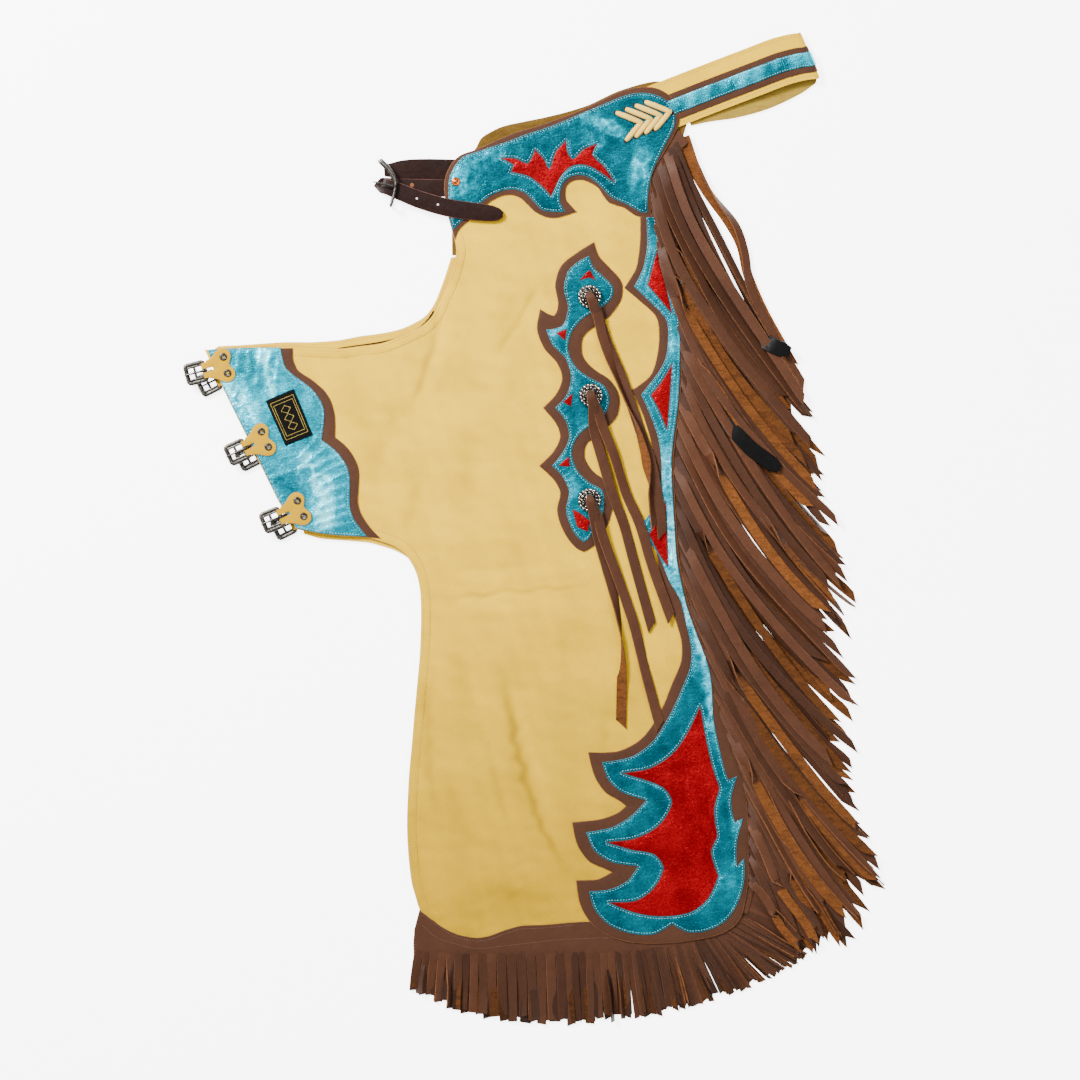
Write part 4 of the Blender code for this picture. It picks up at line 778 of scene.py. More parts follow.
def leg_height(places):
    return 5.35 + rise(places)


def stitch_line(loops, distance, keep, pitch=1.5):
    """Open runs of an inset line, broken where keep says no."""
    runs = []
    for loop in loops:
        places, heading = resampled(loop, pitch, closed=True)
        side = np.column_stack((-heading[:, 1], heading[:, 0]))
        for sign in (1, -1):
            shifted = places + side * (sign * distance)
            good = inside(shifted, loops)
            if good.mean() < 0.5:
                continue
            good &= nearest(shifted, loops)[0] > 0.95 * distance
            good &= keep(shifted)
            run = []
            for place, fine in zip(np.vstack((shifted, shifted[:1])), np.append(good, good[0])):
                if fine and (not run or np.linalg.norm(place - run[-1]) < 4 * pitch):
                    run.append(place)
                else:
                    if len(run) > 4:
                        runs.append(np.array(run))
                    run = [place] if fine else []
            if len(run) > 4:
                runs.append(np.array(run))
    return runs


def on_front(places):
    return ((places[:, 0] < 455) | (places[:, 1] < 300)) & (places[:, 1] < 905) & (places[:, 1] > 235)


def clear_of_wing(places):
    return on_front(places) & ~inside(places, WING_BORDER[:1])


WING_BORDER = outline("wing_border", 2.0, 40)
leg_rows = [(run, leg_height, False) for run in stitch_line(LEFT_LEG, 9.3, clear_of_wing)]
leg_rows += [(run, leg_height, False) for run in stitch_line(LEFT_LEG, 2.8, clear_of_wing)]
stitches("leg_sewing", leg_rows, TAN_THREAD.material, radius=0.26)
lower_rows = [(run, lambda p: np.full(len(p), 3.0), False) for run in stitch_line(RIGHT_LEG, 2.8, lambda p: p[:, 1] < 905)]
stitches("lower_leg_sewing", lower_rows, TAN_THREAD.material, radius=0.26)


# Brown backings and foil overlays

def backing_relief(places, away, along):
    return 0.12 * (1 - np.exp(-((away / 3) ** 2))) + 0.05 * waves(places, 12, 21)


def foil_relief(seed, depth=1.0, pitch=5.2, reach=7.5, gather=0.3):
    def relief(places, away, along):
        """A soft swelling inside the seam, gathers that run in from it, and wide dents."""
        phase = along * (2 * math.pi / pitch) + 2.5 * waves(places, 30, seed)
        gathers = np.sin(phase) * np.exp(-((away / reach) ** 2)) * (0.5 + 0.5 * waves(places, 45, seed + 1))
        groove = -0.3 * np.exp(-(((away - 1.9) / 0.8) ** 2))
        swell = 0.4 * (1 - np.exp(-((away / 5) ** 2)))
        dents = 0.3 * waves(places, 34, seed + 2) * (1 - np.exp(-((away / 8) ** 2)))
        return depth * (gather * gathers + dents) + swell + groove - 0.25
    return relief


# The wing's wrinkles, drawn out from its brown border: the grid line, half width and depth.
WRINKLES = (
    (352, 470, 322, 486, 2.2, 0.8), (354, 482, 318, 497, 2.0, 0.7), (353, 495, 322, 506, 2.2, 0.9), (351, 505, 316, 516, 2.0, 0.7),
    (350, 514, 318, 524, 2.2, 0.8), (345, 452, 312, 470, 2.4, 0.7), (338, 440, 308, 462, 2.2, 0.8), (326, 430, 302, 456, 2.2, 0.6),
    (347, 461, 310, 480, 2.0, 0.6), (272, 352, 266, 376, 3.0, 0.7), (280, 352, 277, 380, 2.6, 0.8), (262, 352, 258, 384, 3.0, 0.6),
    (250, 352, 252, 372, 3.0, 0.6), (290, 354, 284, 372, 2.4, 0.6), (240, 352, 238, 368, 2.6, 0.5), (300, 470, 268, 480, 3.0, 0.5),
    (352, 524, 322, 530, 2.2, 0.6), (246, 380, 262, 440, 6.0, 0.7), (310, 500, 330, 532, 5.0, 0.7),
)


def wing_relief(places, away, along):
    base = foil_relief(77)(places, away, along)
    creased = sum(row[5] * np.exp(-((line_distance(places, row) / row[4]) ** 2)) for row in WRINKLES)
    return base + creased * (1 - np.exp(-((away / 2.5) ** 2)))


def seam_rows(loops, height, distance=1.9):
    rows = [(run, height, False) for run in stitch_line(loops, distance, lambda p: p[:, 0] > 0)]
    return rows


def foil_height(places):
    return 7.95 + rise(places)


SEAMS = []

# Painted highlights and painted shade on the foil: grid place, reach across and down, turn in degrees, strength.
FOIL_PAINTED_LIGHTS = (
    (462, 181, 9, 12, 0, 1.6), (484, 155, 14, 8, -25, 0.9), (604, 125, 22, 5, 25, 1.3), (642, 170, 9, 18, 0, 1.5),
    (593, 142, 12, 8, 0, 0.6), (526, 140, 18, 9, -20, -0.5), (625, 100, 22, 6, -15, -0.35), (570, 190, 20, 8, 0, -0.2),
    (232, 390, 9, 16, -25, 2.0), (264, 360, 6, 18, -10, 1.8), (272, 386, 8, 12, 0, 1.6), (253, 413, 14, 12, 0, 1.1),
    (316, 478, 9, 24, -30, 2.2), (325, 514, 9, 16, -10, 2.4), (248, 366, 9, 12, 0, -0.7), (292, 482, 16, 20, 0, -0.6),
    (262, 470, 10, 20, 0, -0.4), (300, 530, 14, 7, 0, 0.9), (340, 455, 8, 14, 0, 0.5), (284, 358, 6, 12, 0, 0.8),
    (555, 328, 7, 10, 0, 1.4), (576, 354, 8, 12, 0, 0.7), (572, 490, 8, 14, 0, 0.9), (582, 428, 8, 12, 0, 0.5),
    (614, 296, 8, 12, 0, -0.45), (603, 366, 12, 12, 0, -0.3), (608, 512, 8, 12, 0, 0.5), (594, 540, 8, 8, 0, 0.5),
    (672, 548, 7, 34, 0, 3.2), (668, 470, 8, 26, 0, 1.6), (674, 345, 8, 12, 0, 1.3), (656, 246, 7, 10, 0, 0.8),
    (683, 420, 6, 30, 0, 0.8), (645, 292, 6, 10, 0, 0.7), (688, 606, 7, 22, -15, 2.2), (701, 650, 7, 24, -12, 2.8),
    (712, 706, 5, 24, -8, 2.2), (728, 752, 7, 14, 0, 0.9), (741, 816, 6, 18, 0, 0.9), (664, 780, 8, 7, 0, 0.9),
    (592, 892, 9, 12, 0, -0.6), (618, 927, 18, 6, 0, -0.45), (668, 690, 8, 26, 20, -0.2), (728, 880, 10, 16, 0, 0.4),
)


def foil_painted_light(places):
    """How bright the foil shows, as painted light: the wing and the band are painted brighter than the yoke and the
    flames, with painted highlights and painted shade in patches.
    """
    across, down = places[:, 0], places[:, 1]
    tone_and_painted_light = 0.46 + 0.62 * (across < 420) + 0.25 * ((across > 635) & (down > 230) & (down < 620)) - 0.1 * ((across > 420) & (down < 225))
    tone_and_painted_light = tone_and_painted_light * (1 + 0.12 * waves(places, 40, 301) + 0.10 * waves(places, 14, 302))
    wander = places + np.column_stack((3.5 * waves(places, 13, 303), 3.5 * waves(places, 13, 304)))
    streaks = 1 + 0.55 * waves(wander * (1.0, 1.0), 9, 305, 5)
    for a, d, reach_across, reach_down, turned, strength in FOIL_PAINTED_LIGHTS:
        angle = math.radians(turned)
        offset = wander - (a, d)
        u = (offset[:, 0] * math.cos(angle) + offset[:, 1] * math.sin(angle)) / reach_across
        v = (offset[:, 1] * math.cos(angle) - offset[:, 0] * math.sin(angle)) / reach_down
        tone_and_painted_light = tone_and_painted_light + (strength if strength > 0 else 0.5 * strength * np.minimum(tone_and_painted_light, 1)) * np.exp(-(u * u + v * v)) * (np.clip(streaks, 0.2, 1.8) if strength > 0 else 1)
    return np.clip(tone_and_painted_light, 0.3, 4.2)


# The red inlays take a milder copy of the foil's painted light.
def red_painted_light(places):
    return np.clip(0.75 + 0.4 * foil_painted_light(places), 0.5, 1.4)


def joined_under_yoke(loops, reach):
    """The side band's upper end drawn up until it meets the yoke's border."""
    moved = []
    for loop in loops:
        near = (loop[:, 1] < 230) & (loop[:, 0] > 640) & (loop[:, 0] < 700)
        moved.append(loop - np.column_stack((np.zeros(len(loop)), reach * near * smoothstep((230 - loop[:, 1]) / 6))))
    return moved


def overlay(backing, top_name, inlays, seed, corner=40, relief=None):
    """A brown backing, its foil, and the inlays let into the foil."""
    loops = outline(backing, 2.0, corner)
    if backing == "left_band_border":
        loops = joined_under_yoke(loops, 5.0)
    sheet(f"{backing}_leather", loops, 6.6, 5.6, 5, (0.5, 1.2), mats(BROWN, CUT_EDGE), [backing], closed=False, relief=backing_relief)
    loops = outline(top_name, 1.8, corner)
    if top_name == "left_band":
        loops = joined_under_yoke(loops, 3.5)
    sheet(f"{top_name}_foil", loops, 7.9, 6.9, 1.75, (0.5, 1.1, 1.9, 2.8), mats(TEAL, TEAL_EDGE), [top_name], closed=False,
          relief=relief or foil_relief(seed), tone_and_painted_light=foil_painted_light)
    SEAMS.extend(seam_rows(loops, foil_height))
    for i, inlay in enumerate(inlays):
        shape = outline(inlay, 1.8, corner)
        sheet(f"{inlay}_foil", shape, 7.6, 6.9, 2.0, (0.5, 1.2), mats(RED, RED_EDGE), [inlay], closed=False,
              relief=foil_relief(seed + 7 + i, 0.8), tone_and_painted_light=red_painted_light)


overlay("left_yoke_border", "left_yoke", ["left_yoke_flame"], 31)
overlay("left_band_border", "left_band", ["band_diamond_1", "band_diamond_2", "band_diamond_3", "flame_core"], 47)
overlay("patch_border", "patch", [], 63)
overlay("wing_border", "wing_patch", [], 77, relief=wing_relief)

# Small red pieces sewn on the patch
PATCH_REDS = (
    ((577, 283), (584, 274), (590, 270), (596, 281), (590, 278), (583, 280)),
    ((556, 333), (567, 329), (565, 341)), ((563, 402), (573, 393), (571, 407)),
    ((558, 466), (569, 456), (570, 467)), ((572, 509), (580, 513), (590, 521), (588, 532), (577, 527)),
)
for number, knots in enumerate(PATCH_REDS):
    loops = [spline(knots, 1.5, True, np.ones(len(knots), bool))]
    sheet(f"patch_red_{number + 1}", loops, 8.75, 7.6, 2.0, (0.5, 1.1), mats(RED, RED_EDGE), closed=False,
          relief=foil_relief(90 + number, 0.5), tone_and_painted_light=red_painted_light)
stitches("foil_sewing", SEAMS, PALE_THREAD.material, pitch=2.8, length=0.6, radius=0.27)


# The fringes

HEM_EDGE = (
    (742, 885), (735, 915), (690, 925), (640, 928), (591, 922), (544, 925), (521, 926), (503, 931), (488, 936.5),
    (477, 938), (456, 934), (436, 923), (420, 910),
)
HEM_ROWS = (
    (415, 950, 410, 991), (480, 953, 479, 1018), (560, 953, 562, 1025), (620, 952, 626, 1020),
    (660, 948, 673, 1012), (685, 944, 704, 1003), (712, 936, 750, 988), (730, 930, 790, 966), (742, 918, 805, 958),
)
CORNER_ROWS = ((728, 930, 776, 972), (738, 921, 803, 958), (744, 905, 812, 946), (748, 885, 815, 935))
SIDE_ROWS = (
    (676, 140, 716, 240, 800, 392), (655, 172, 705, 290, 812, 430), (653, 205, 700, 320, 818, 470),
    (660, 250, 715, 370, 822, 500), (672, 290, 730, 410, 838, 540), (681, 345, 745, 470, 848, 590),
    (680, 400, 745, 520, 852, 640), (675, 460, 745, 580, 854, 700), (678, 520, 750, 650, 848, 770),
    (686, 580, 765, 720, 868, 840), (703, 640, 785, 780, 880, 886), (717, 700, 790, 820, 862, 915),
    (734, 745, 795, 860, 845, 935), (747, 790, 795, 880, 824, 945), (751, 830, 783, 895, 808, 944),
    (750, 885, 775, 915, 800, 940),
)


def table_row(rows, share):
    place = min(max(share, 0.0), 1.0) * (len(rows) - 1)
    i = min(int(place), len(rows) - 2)
    return np.array(rows[i]) + (np.array(rows[i + 1]) - np.array(rows[i])) * (place - i)


def hem_strands(count, seed, base, end, flesh_up, lean, spread, rows=HEM_ROWS):
    draw = random.Random(seed)
    strips = []
    for i in range(count):
        share = (i + 0.5) / count
        row = table_row(rows, share)
        root, tip = row[:2], row[2:] + (draw.uniform(-lean, lean), draw.uniform(-6, 1.5))
        step = table_row(rows, share + 0.5 / count) - table_row(rows, share - 0.5 / count)
        width = max(np.linalg.norm(step[:2]) * GRID_MM, 7.0 if rows is CORNER_ROWS else 0)
        t = np.linspace(-0.12, 1, 12)[:, None]
        bend = draw.uniform(-1, 1) * spread
        places = root + (tip - root) * t + np.column_stack((bend * np.sin(t * math.pi), 0 * t))
        height = base + (end - base) * smoothstep(t[:, 0]) + draw.uniform(-0.3, 1.4) * np.sin(np.clip(t[:, 0], 0, 1) * math.pi)
        height = height + np.where(t[:, 0] < 0.4, rise(places) * (1 - smoothstep(t[:, 0] / 0.4)), 0) * (base > 3)
        turn = draw.gauss(0, 12)
        if draw.random() < 0.08:
            turn = draw.choice((-1, 1)) * draw.uniform(40, 70)
        roll = turn * smoothstep(t[:, 0] * 1.4) + (180 if flesh_up and draw.random() < 0.4 else 0)
        # The lower layer's strands are painted darker: painted shade under the upper fringe.
        shade = draw.uniform(0.5, 1.02) * (0.55 if flesh_up else 1)
        if flesh_up:
            width = width * 1.5
        strips.append((millimetres(places, height), roll, width * draw.uniform(0.93, 1.02) * (1 + 0.62 * smoothstep((share - 0.4) / 0.3) * t[:, 0]), 1.25, 0.12, draw.uniform(-1.6, 1.6), shade))
    return strips


hem_loop = np.vstack((spline(HEM_EDGE[1:], 3)[::-1] - (0, 2.5), spline([(738, 926), *[(r[0], r[1] + 1.5) for r in HEM_ROWS[::-1]], (414, 930)], 3)))
STRIP = [hem_loop]


def strip_relief(places, away, along):
    return 0.1 * waves(places, 14, 41) + 0.25 * (1 - np.exp(-((away / 4) ** 2)))


hem = ribbons("hem_fringe", hem_strands(66, 51, 3.95, 1.3, False, 1.6, 1.0) + hem_strands(13, 55, 2.9, 1.2, False, 3.0, 2.0, CORNER_ROWS), mats(BROWN_SHADED, RUST, CUT_SHADED), ["left_hem_fringe"])
under_hem = ribbons("lower_hem_fringe", hem_strands(84, 52, 0.95, 0.9, True, 3.2, 1.5), mats(BROWN_SHADED, RUST, CUT_SHADED), ["right_hem_fringe"])
sheet("hem_strip", STRIP, 4.65, 3.3, 4, (0.5, 1.3), mats(BROWN, CUT_EDGE), relief=strip_relief, closed=True)
hem_rows = [
    ((422, 925), (436, 937), (456, 944), (477, 948.5), (512, 945), (556, 940), (600, 938), (625, 938)),
    ((423, 915), (438, 926), (456, 937), (477, 941), (489, 939.5), (504, 934), (521, 929), (544, 928), (575, 925)),
]
stitches("hem_sewing", [(spline(row, 2), lambda p: 4.95 + rise(p), False) for row in hem_rows], BROWN_THREAD.material, radius=0.28)


def side_strands(count, seed, base, lane_base, lanes, flesh_up, first=0.0, last=1.0, width=10.5, shorten=26, sway=6.0):
    draw = random.Random(seed)
    strips = []
    for i in range(count):
        share = first + (last - first) * (i + 0.5) / count
        row = table_row(SIDE_ROWS, share)
        root, mid, tip = row[:2], row[2:4], row[4:]
        tip = tip + (draw.uniform(-sway, sway), draw.uniform(-sway, sway))
        mid = mid + (draw.uniform(-4, 4), draw.uniform(-4, 4))
        length = np.linalg.norm(tip - root)
        tip = tip + (mid - tip) / np.linalg.norm(mid - tip) * draw.random() ** 2 * min(shorten * 2.2, 0.25 * length)
        t = np.linspace(0, 1, 24)[:, None]
        places = root * (1 - t) ** 2 + 2 * t * (1 - t) * (2 * mid - (root + tip) / 2) + tip * t**2
        heading = tip - root
        side = np.array((-heading[1], heading[0])) / length
        wiggle = draw.uniform(1.0, 3.5) * np.sin(t * draw.uniform(3, 7) + draw.uniform(0, 6)) * smoothstep(t * 2)
        places = places + side * wiggle
        lane = lane_base + (i * 3 % lanes) * 1.15 + draw.uniform(-0.4, 0.4)
        s = t[:, 0]
        height = base + (lane - base) * smoothstep(s / 0.10)
        drop = min(lane - 1.2, 3.6) if lane > 3 else 0.2
        height = height - drop * smoothstep((s - 0.45) / 0.55)
        roll = draw.gauss(4, 13) * smoothstep(s / 0.2) + draw.uniform(-14, 14) * np.sin(s * draw.uniform(2, 6) + draw.uniform(0, 6))
        chance = draw.random()
        if chance < 0.16:
            roll = roll + draw.choice((-1, 1)) * 180 * smoothstep((s - draw.uniform(0.1, 0.55)) / draw.uniform(0.12, 0.3))
        elif chance < 0.30:
            roll = roll + draw.choice((-1, 1)) * draw.uniform(35, 70) * smoothstep((s - draw.uniform(0.05, 0.5)) / 0.25)
        if flesh_up:
            roll = roll + 180
        # Strands lower in the stack and the lower layer's strands are painted darker, as painted shade between the
        # strands; the rest of the spread is random.
        shade = draw.uniform(0.6, 1.2) * (0.75 if flesh_up else 0.6 + 0.4 * (i * 3 % lanes) / (lanes - 1))
        taper = width * draw.uniform(0.82, 1.05) * (1 - 0.25 * (s > 0.999))
        slant = draw.choice((-1, 1)) * draw.uniform(4, 9)
        strips.append((millimetres(places, height), roll, taper, 1.3, 0.18, slant, shade))
    return strips


LOOSE = (
    # a grid route and height, the roll along it, and whether its flesh side is up
    (((686, 136, 1.5), (697, 166, 3), (716, 198, 4), (736, 225, 5), (745, 252, 5), (750, 285, 5), (771, 330, 4), (804, 386, 2.5)), (150, 120, 60, 20, 10, 0, 0, 5), 9.0),
    (((682, 142, 1.5), (695, 172, 2.2), (708, 194, 2.5), (728, 222, 3), (741, 246, 3.2), (748, 275, 3.2), (764, 312, 3), (792, 362, 1.8)), (180, 185, 190, 200, 180, 175, 180, 180), 10.0),
)


def loose_strands():
    strips = []
    for route, rolls, width in LOOSE:
        line = spline([(a, d, h) for a, d, h in route], 6)
        roll = np.interp(np.linspace(0, 1, len(line)), np.linspace(0, 1, len(rolls)), rolls)
        strips.append((millimetres(line[:, :2], line[:, 2]), roll, width, 1.3, 0.15, 6.0, 0.95))
    return strips


side_strips = side_strands(94, 61, 4.1, 5.6, 7, False, width=10.2)
lower_strips = side_strands(60, 62, 1.0, 1.6, 2, True, 0.0, 0.97, 10.5, 20, 9.0) + loose_strands()
ribbons("side_fringe", side_strips, mats(BROWN_SHADED, RUST, CUT_SHADED), ["left_side_fringe"])
ribbons("lower_side_fringe", lower_strips, mats(BROWN_SHADED, RUST, CUT_SHADED), ["right_side_fringe"])
EDGE_LINE = spline([(684, 136), (668, 151), (657, 168), (652.5, 190), (652.5, 218), (658, 247), (667.5, 269), (674, 291), (678, 315),
                    (678.5, 342), (678, 380), (675.5, 413), (672, 438), (670, 462), (671, 492), (673, 526), (676, 560),
                    (681, 582), (686, 605), (694, 627), (703, 648), (709, 669), (713, 693), (721, 722), (736, 758),
                    (745, 799), (748, 850), (746, 887), (740, 912)], 4)
edge_strip = [(millimetres(EDGE_LINE, 4.3), 0, 17.0, 1.2, 0.1, 0, 1.0)]
ribbons("side_strip", edge_strip, mats(BROWN_SHADED, RUST, CUT_SHADED))


# Conchos and ties

CONCHOS = ((589.5, 297), (591, 395.5), (589.5, 500))
CONCHO_ROWS = (
    (12.6, 0.0, 0.0), (12.7, 0.6, 0.0), (12.2, 1.1, 0.08), (11.2, 1.35, 0.28), (10.2, 1.3, 0.35), (9.4, 1.5, 0.15),
    (8.8, 2.1, 0.0), (8.0, 2.4, 0.12), (7.0, 2.2, 0.2), (6.0, 2.5, 0.0), (4.0, 3.1, 0.0), (2.0, 3.4, 0.0), (0.4, 3.5, 0.0),
)
HIGH, LOW = 9.0, 6.4
TIES = (
    (((589.5, 293, 14.6), (590.5, 298, 17.6), (594, 308, 15.5), (600, 322, 10.2), (608, 345, 9.4), (622, 378, 8.4), (640, 430, 7.2), (651, 462, 9.0), (659, 504, 9.0), (662.5, 535, 9.0)),
     (0, 5, 10, 0, -10, 0, 5, 0, 0, 5), 0),
    (((589.5, 294, 14.0), (591, 299, 16.6), (597, 312, 13.4), (602, 335, 11.4), (615, 372, 11.0), (636, 425, 9.6), (645, 455, 10.6), (650, 490, 10.8), (655, 524, 10.6)),
     (20, 10, 10, 55, 70, 120, 150, 60, 30), 0),
    (((591, 391.5, 14.6), (591, 397, 17.4), (593, 408, 15.0), (594, 430, 9.8), (603, 462, 9.0), (612, 493, 9.0), (624, 525, 7.0), (634, 562, 7.0), (652, 627, 6.6)),
     (0, 5, 0, 0, 0, 5, 0, 0, 0), 1),
    (((591.5, 392.5, 14.0), (593, 399, 16.4), (598, 412, 13.0), (604, 430, 11.2), (614, 455, 10.4), (626, 493, 9.4), (640, 525, 9.2), (651, 562, 9.2), (671, 618, 8.8)),
     (10, 10, 10, 20, 10, 0, 5, 0, 10), 1),
    (((589.5, 496, 14.6), (590, 501, 17.4), (593, 512, 15.0), (598, 537, 9.8), (606, 565, 7.2), (618, 610, 6.8), (622, 650, 6.6), (621, 724, 6.3)),
     (0, 5, 0, 15, 60, 120, 180, 180), 2),
    (((590, 497, 14.0), (592, 503, 16.4), (597, 515, 13.0), (604, 540, 11.2), (617, 575, 9.2), (634, 625, 7.8), (645, 670, 7.6), (660, 726, 7.2)),
     (10, 10, 10, 10, 0, 20, 10, 0), 2),
)


def make_conchos():
    for number, place in enumerate(CONCHOS):
        lift_by = float(rise([place])[0])
        centre = millimetres([place], 11.2 + lift_by)[0]
        parts = [lathe(CONCHO_ROWS, 96, centre, 0.035, 16)]
        plain = len(parts[0][1])
        for radius, count, size, height in ((11.3, 17, 1.7, 0.9), (8.2, 12, 1.1, 2.3)):
            for turn in np.arange(count) * 2 * math.pi / count:
                bead = centre + (radius * math.cos(turn), radius * math.sin(turn), height)
                parts.append(lathe(((size, 0, 0), (size * 0.8, size * 0.6, 0), (size * 0.3, size * 0.95, 0)), 8, bead))
        points, faces = merged(parts)
        kinds = [0] * plain + [1] * (len(faces) - plain)
        make_piece(f"concho_{number + 1}_silver", points, faces, [SILVER.material, BRIGHT.material], kinds, nodes=[f"concho_{number + 1}"], smooth=50)
        strips = []
        for route, rolls, owner in TIES:
            if owner != number:
                continue
            line = spline(route, 4)
            lifted = line[:, 2] + rise(line[:, :2])
            roll = np.interp(np.linspace(0, 1, len(line)), np.linspace(0, 1, len(rolls)), rolls)
            width = np.interp(np.arange(len(line)), (0, 1, 2, 4, 6), (5.0, 8.2, 8.8, 9.4, 10.8))
            strips.append((millimetres(line[:, :2], lifted), roll, width, 1.35, 0.15, 5.0, 1.0 if len(strips) else 0.86))
        ribbons(f"tie_{number + 1}_leather", strips, mats(BROWN_SHADED, RUST, CUT_SHADED), [f"tie_{number + 1}"])


make_conchos()


# The yoke's lacing and rivet

def make_lacing():
    ends = []
    for number in range(4):
        shift = np.array((9.6, -3.6)) * number
        a, b, c = (np.array(p) + shift for p in ((616, 113), (641, 123), (626, 141)))
        strips = []
        for start, end, lift_by in ((b, c, 0.0), (a, b + (b - a) * 0.06, 0.55)):
            t = np.linspace(0, 1, 14)[:, None]
            places = start + (end - start) * t
            hump = 8.3 + lift_by + 1.5 * np.sin(np.clip(t[:, 0], 0, 1) * math.pi) ** 0.4
            width = 5.8 * (0.62 + 0.38 * np.sin(t[:, 0] * math.pi) ** 0.35)
            strips.append((millimetres(places, hump + rise(places)), 0, width, 1.1, 0.75, 0, 1.0))
        ribbons(f"lacing_{number + 1}_lace", strips, mats(LACE, LACE, TAN_EDGE), [f"lacing_{number + 1}"], smooth=75)
        ends += [a - (b - a) * 0.02, c + (c - b) * 0.03, b + (b - a) * 0.09]
    # Near-black discs at the lace ends: painted shade for the slits that the lace goes through.
    parts = []
    for place in ends:
        centre = millimetres([place], 8.0 + rise([place])[0])[0]
        parts.append(lathe(((2.3, 0.0, 0), (2.2, 0.35, 0), (0.5, 0.4, 0)), 14, centre))
    points, faces = merged(parts)
    make_piece("lacing_slits", points, faces, [HOLE_PAINTED_SHADE.material])


make_lacing()
RIVET_ROWS = ((4.9, 0.0, 0), (4.9, 0.35, 0), (4.3, 0.9, 0), (3.5, 1.1, 0), (3.0, 0.75, 0), (2.6, 0.8, 0), (2.0, 1.5, 0), (1.0, 1.8, 0), (0.2, 1.85, 0))
points, faces = lathe(RIVET_ROWS, 40, millimetres([(456, 182)], 8.2 + rise([(456, 182)])[0])[0])
make_piece("front_rivet_copper", points, faces, [COPPER.material], nodes=["front_rivet"])


# The wing's tabs, buckles and label

TABS = ((223.5, 366, -0.967, 0.255), (263, 440.5, -0.908, 0.418), (298.5, 509.5, -0.925, 0.380))
TAB_BAR = 18.6
CLOVER = (
    (9.0, 1.55, 1), (15.4, 1.55, 1), (15.8, 8.6, 0), (12.0, 10.0, 0), (7.8, 12.2, 0), (3.2, 15.8, 0), (-3.2, 17.2, 0),
    (-8.6, 14.0, 0), (-10.2, 8.2, 0), (-7.8, 3.0, 0), (-6.6, 0.0, 0),
)


class Axis:
    """A buckle's bar: its middle in millimetres, the way out and the way along the bar."""

    def __init__(self, place, out, height):
        self.middle = millimetres([place], height)[0]
        self.out = np.array((out[0], -out[1], 0.0)) / np.linalg.norm(out)
        self.bar = np.cross((0, 0, 1.0), self.out)

    def spots(self, rows):
        rows = np.asarray(rows, float)
        return self.middle + rows[:, :1] * self.out + rows[:, 1:2] * self.bar + rows[:, 2:] * (0, 0, 1.0)


def rounded_frame(reach, half, corner, step=1.1):
    """A closed path round a frame, from the bar out, as (out, bar, up) rows."""
    path = []
    for out, side, start in ((reach - corner, half - corner, 0), (corner, half - corner, 90), (corner, -half + corner, 180), (reach - corner, -half + corner, 270)):
        for degrees in range(0, 91, 18):
            angle = math.radians(start + degrees)
            path.append((out + corner * math.cos(angle), side + corner * math.sin(angle), 0.0))
    path = np.array(path)
    return resampled(path, step, closed=True)[0]


def buckle(axis, name, node, body):
    frame_path = rounded_frame(20.5, 10.2, 2.6)
    inner_path = rounded_frame(16.9, 7.0, 1.6)
    inner_path[:, 0] += 1.9
    inner_path[:, 2] += 0.5
    parts = [bar(axis.spots(frame_path), 2.45, 10, True, ribs=0.13, squash=0.71)]
    parts.append(bar(axis.spots(inner_path), 1.25, 8, True, squash=0.5))
    roller = [(20.5, side, 0.0) for side in np.linspace(-7.4, 7.4, 19)]
    parts.append(bar(axis.spots(roller), 2.0, 12, ribs=0.05))
    second = [(11.0, side, 0.0) for side in np.linspace(-9.4, 9.4, 15)]
    parts.append(bar(axis.spots(second), 1.55, 8, ribs=0.08, squash=0.6))
    points, faces = merged(parts)
    return make_piece(name, points, faces, [NICKEL.material], nodes=[node], body=body, smooth=45)


def prong(axis, name, node, body):
    finger = [(0.4, 0, 2.0), (2.5, 0, 2.35), (8, 0, 2.75), (14, 0, 2.9), (19, 0, 3.0), (23.4, 0, 2.2)]
    points, faces = bar(axis.spots(finger), np.array((1.3, 1.25, 1.15, 1.05, 0.95, 0.6)), 8, squash=0.75)
    angles = np.radians(range(0, 360, 20))
    ring = [(2.25 * math.cos(a), 0.0, 2.25 * math.sin(a)) for a in angles]
    ring_points, ring_faces = bar(axis.spots(ring), 0.75, 8, True, up=tuple(axis.bar))
    points, faces = merged([(points, faces), (ring_points, ring_faces)])
    return make_piece(name, points, faces, [NICKEL.material], nodes=[node], body=body, smooth=50)


def tab_loop(axis, name, node, thick, runs, tail, look):
    """Two straps that go round the bar and back, either side of the prong."""
    strips = []
    middle = 1.3 + 0.35 + thick / 2
    for side in (-1, 1):
        rows = [(-out, side * 5.3, up) for out, up in runs]
        rows += [(middle * math.sin(a), side * 5.3, middle * math.cos(a)) for a in np.radians(range(0, 181, 15))]
        rows.append((-tail, side * 5.3, -middle))
        strips.append(rows)
    return [(axis.spots(rows), 6.4) for rows in strips]


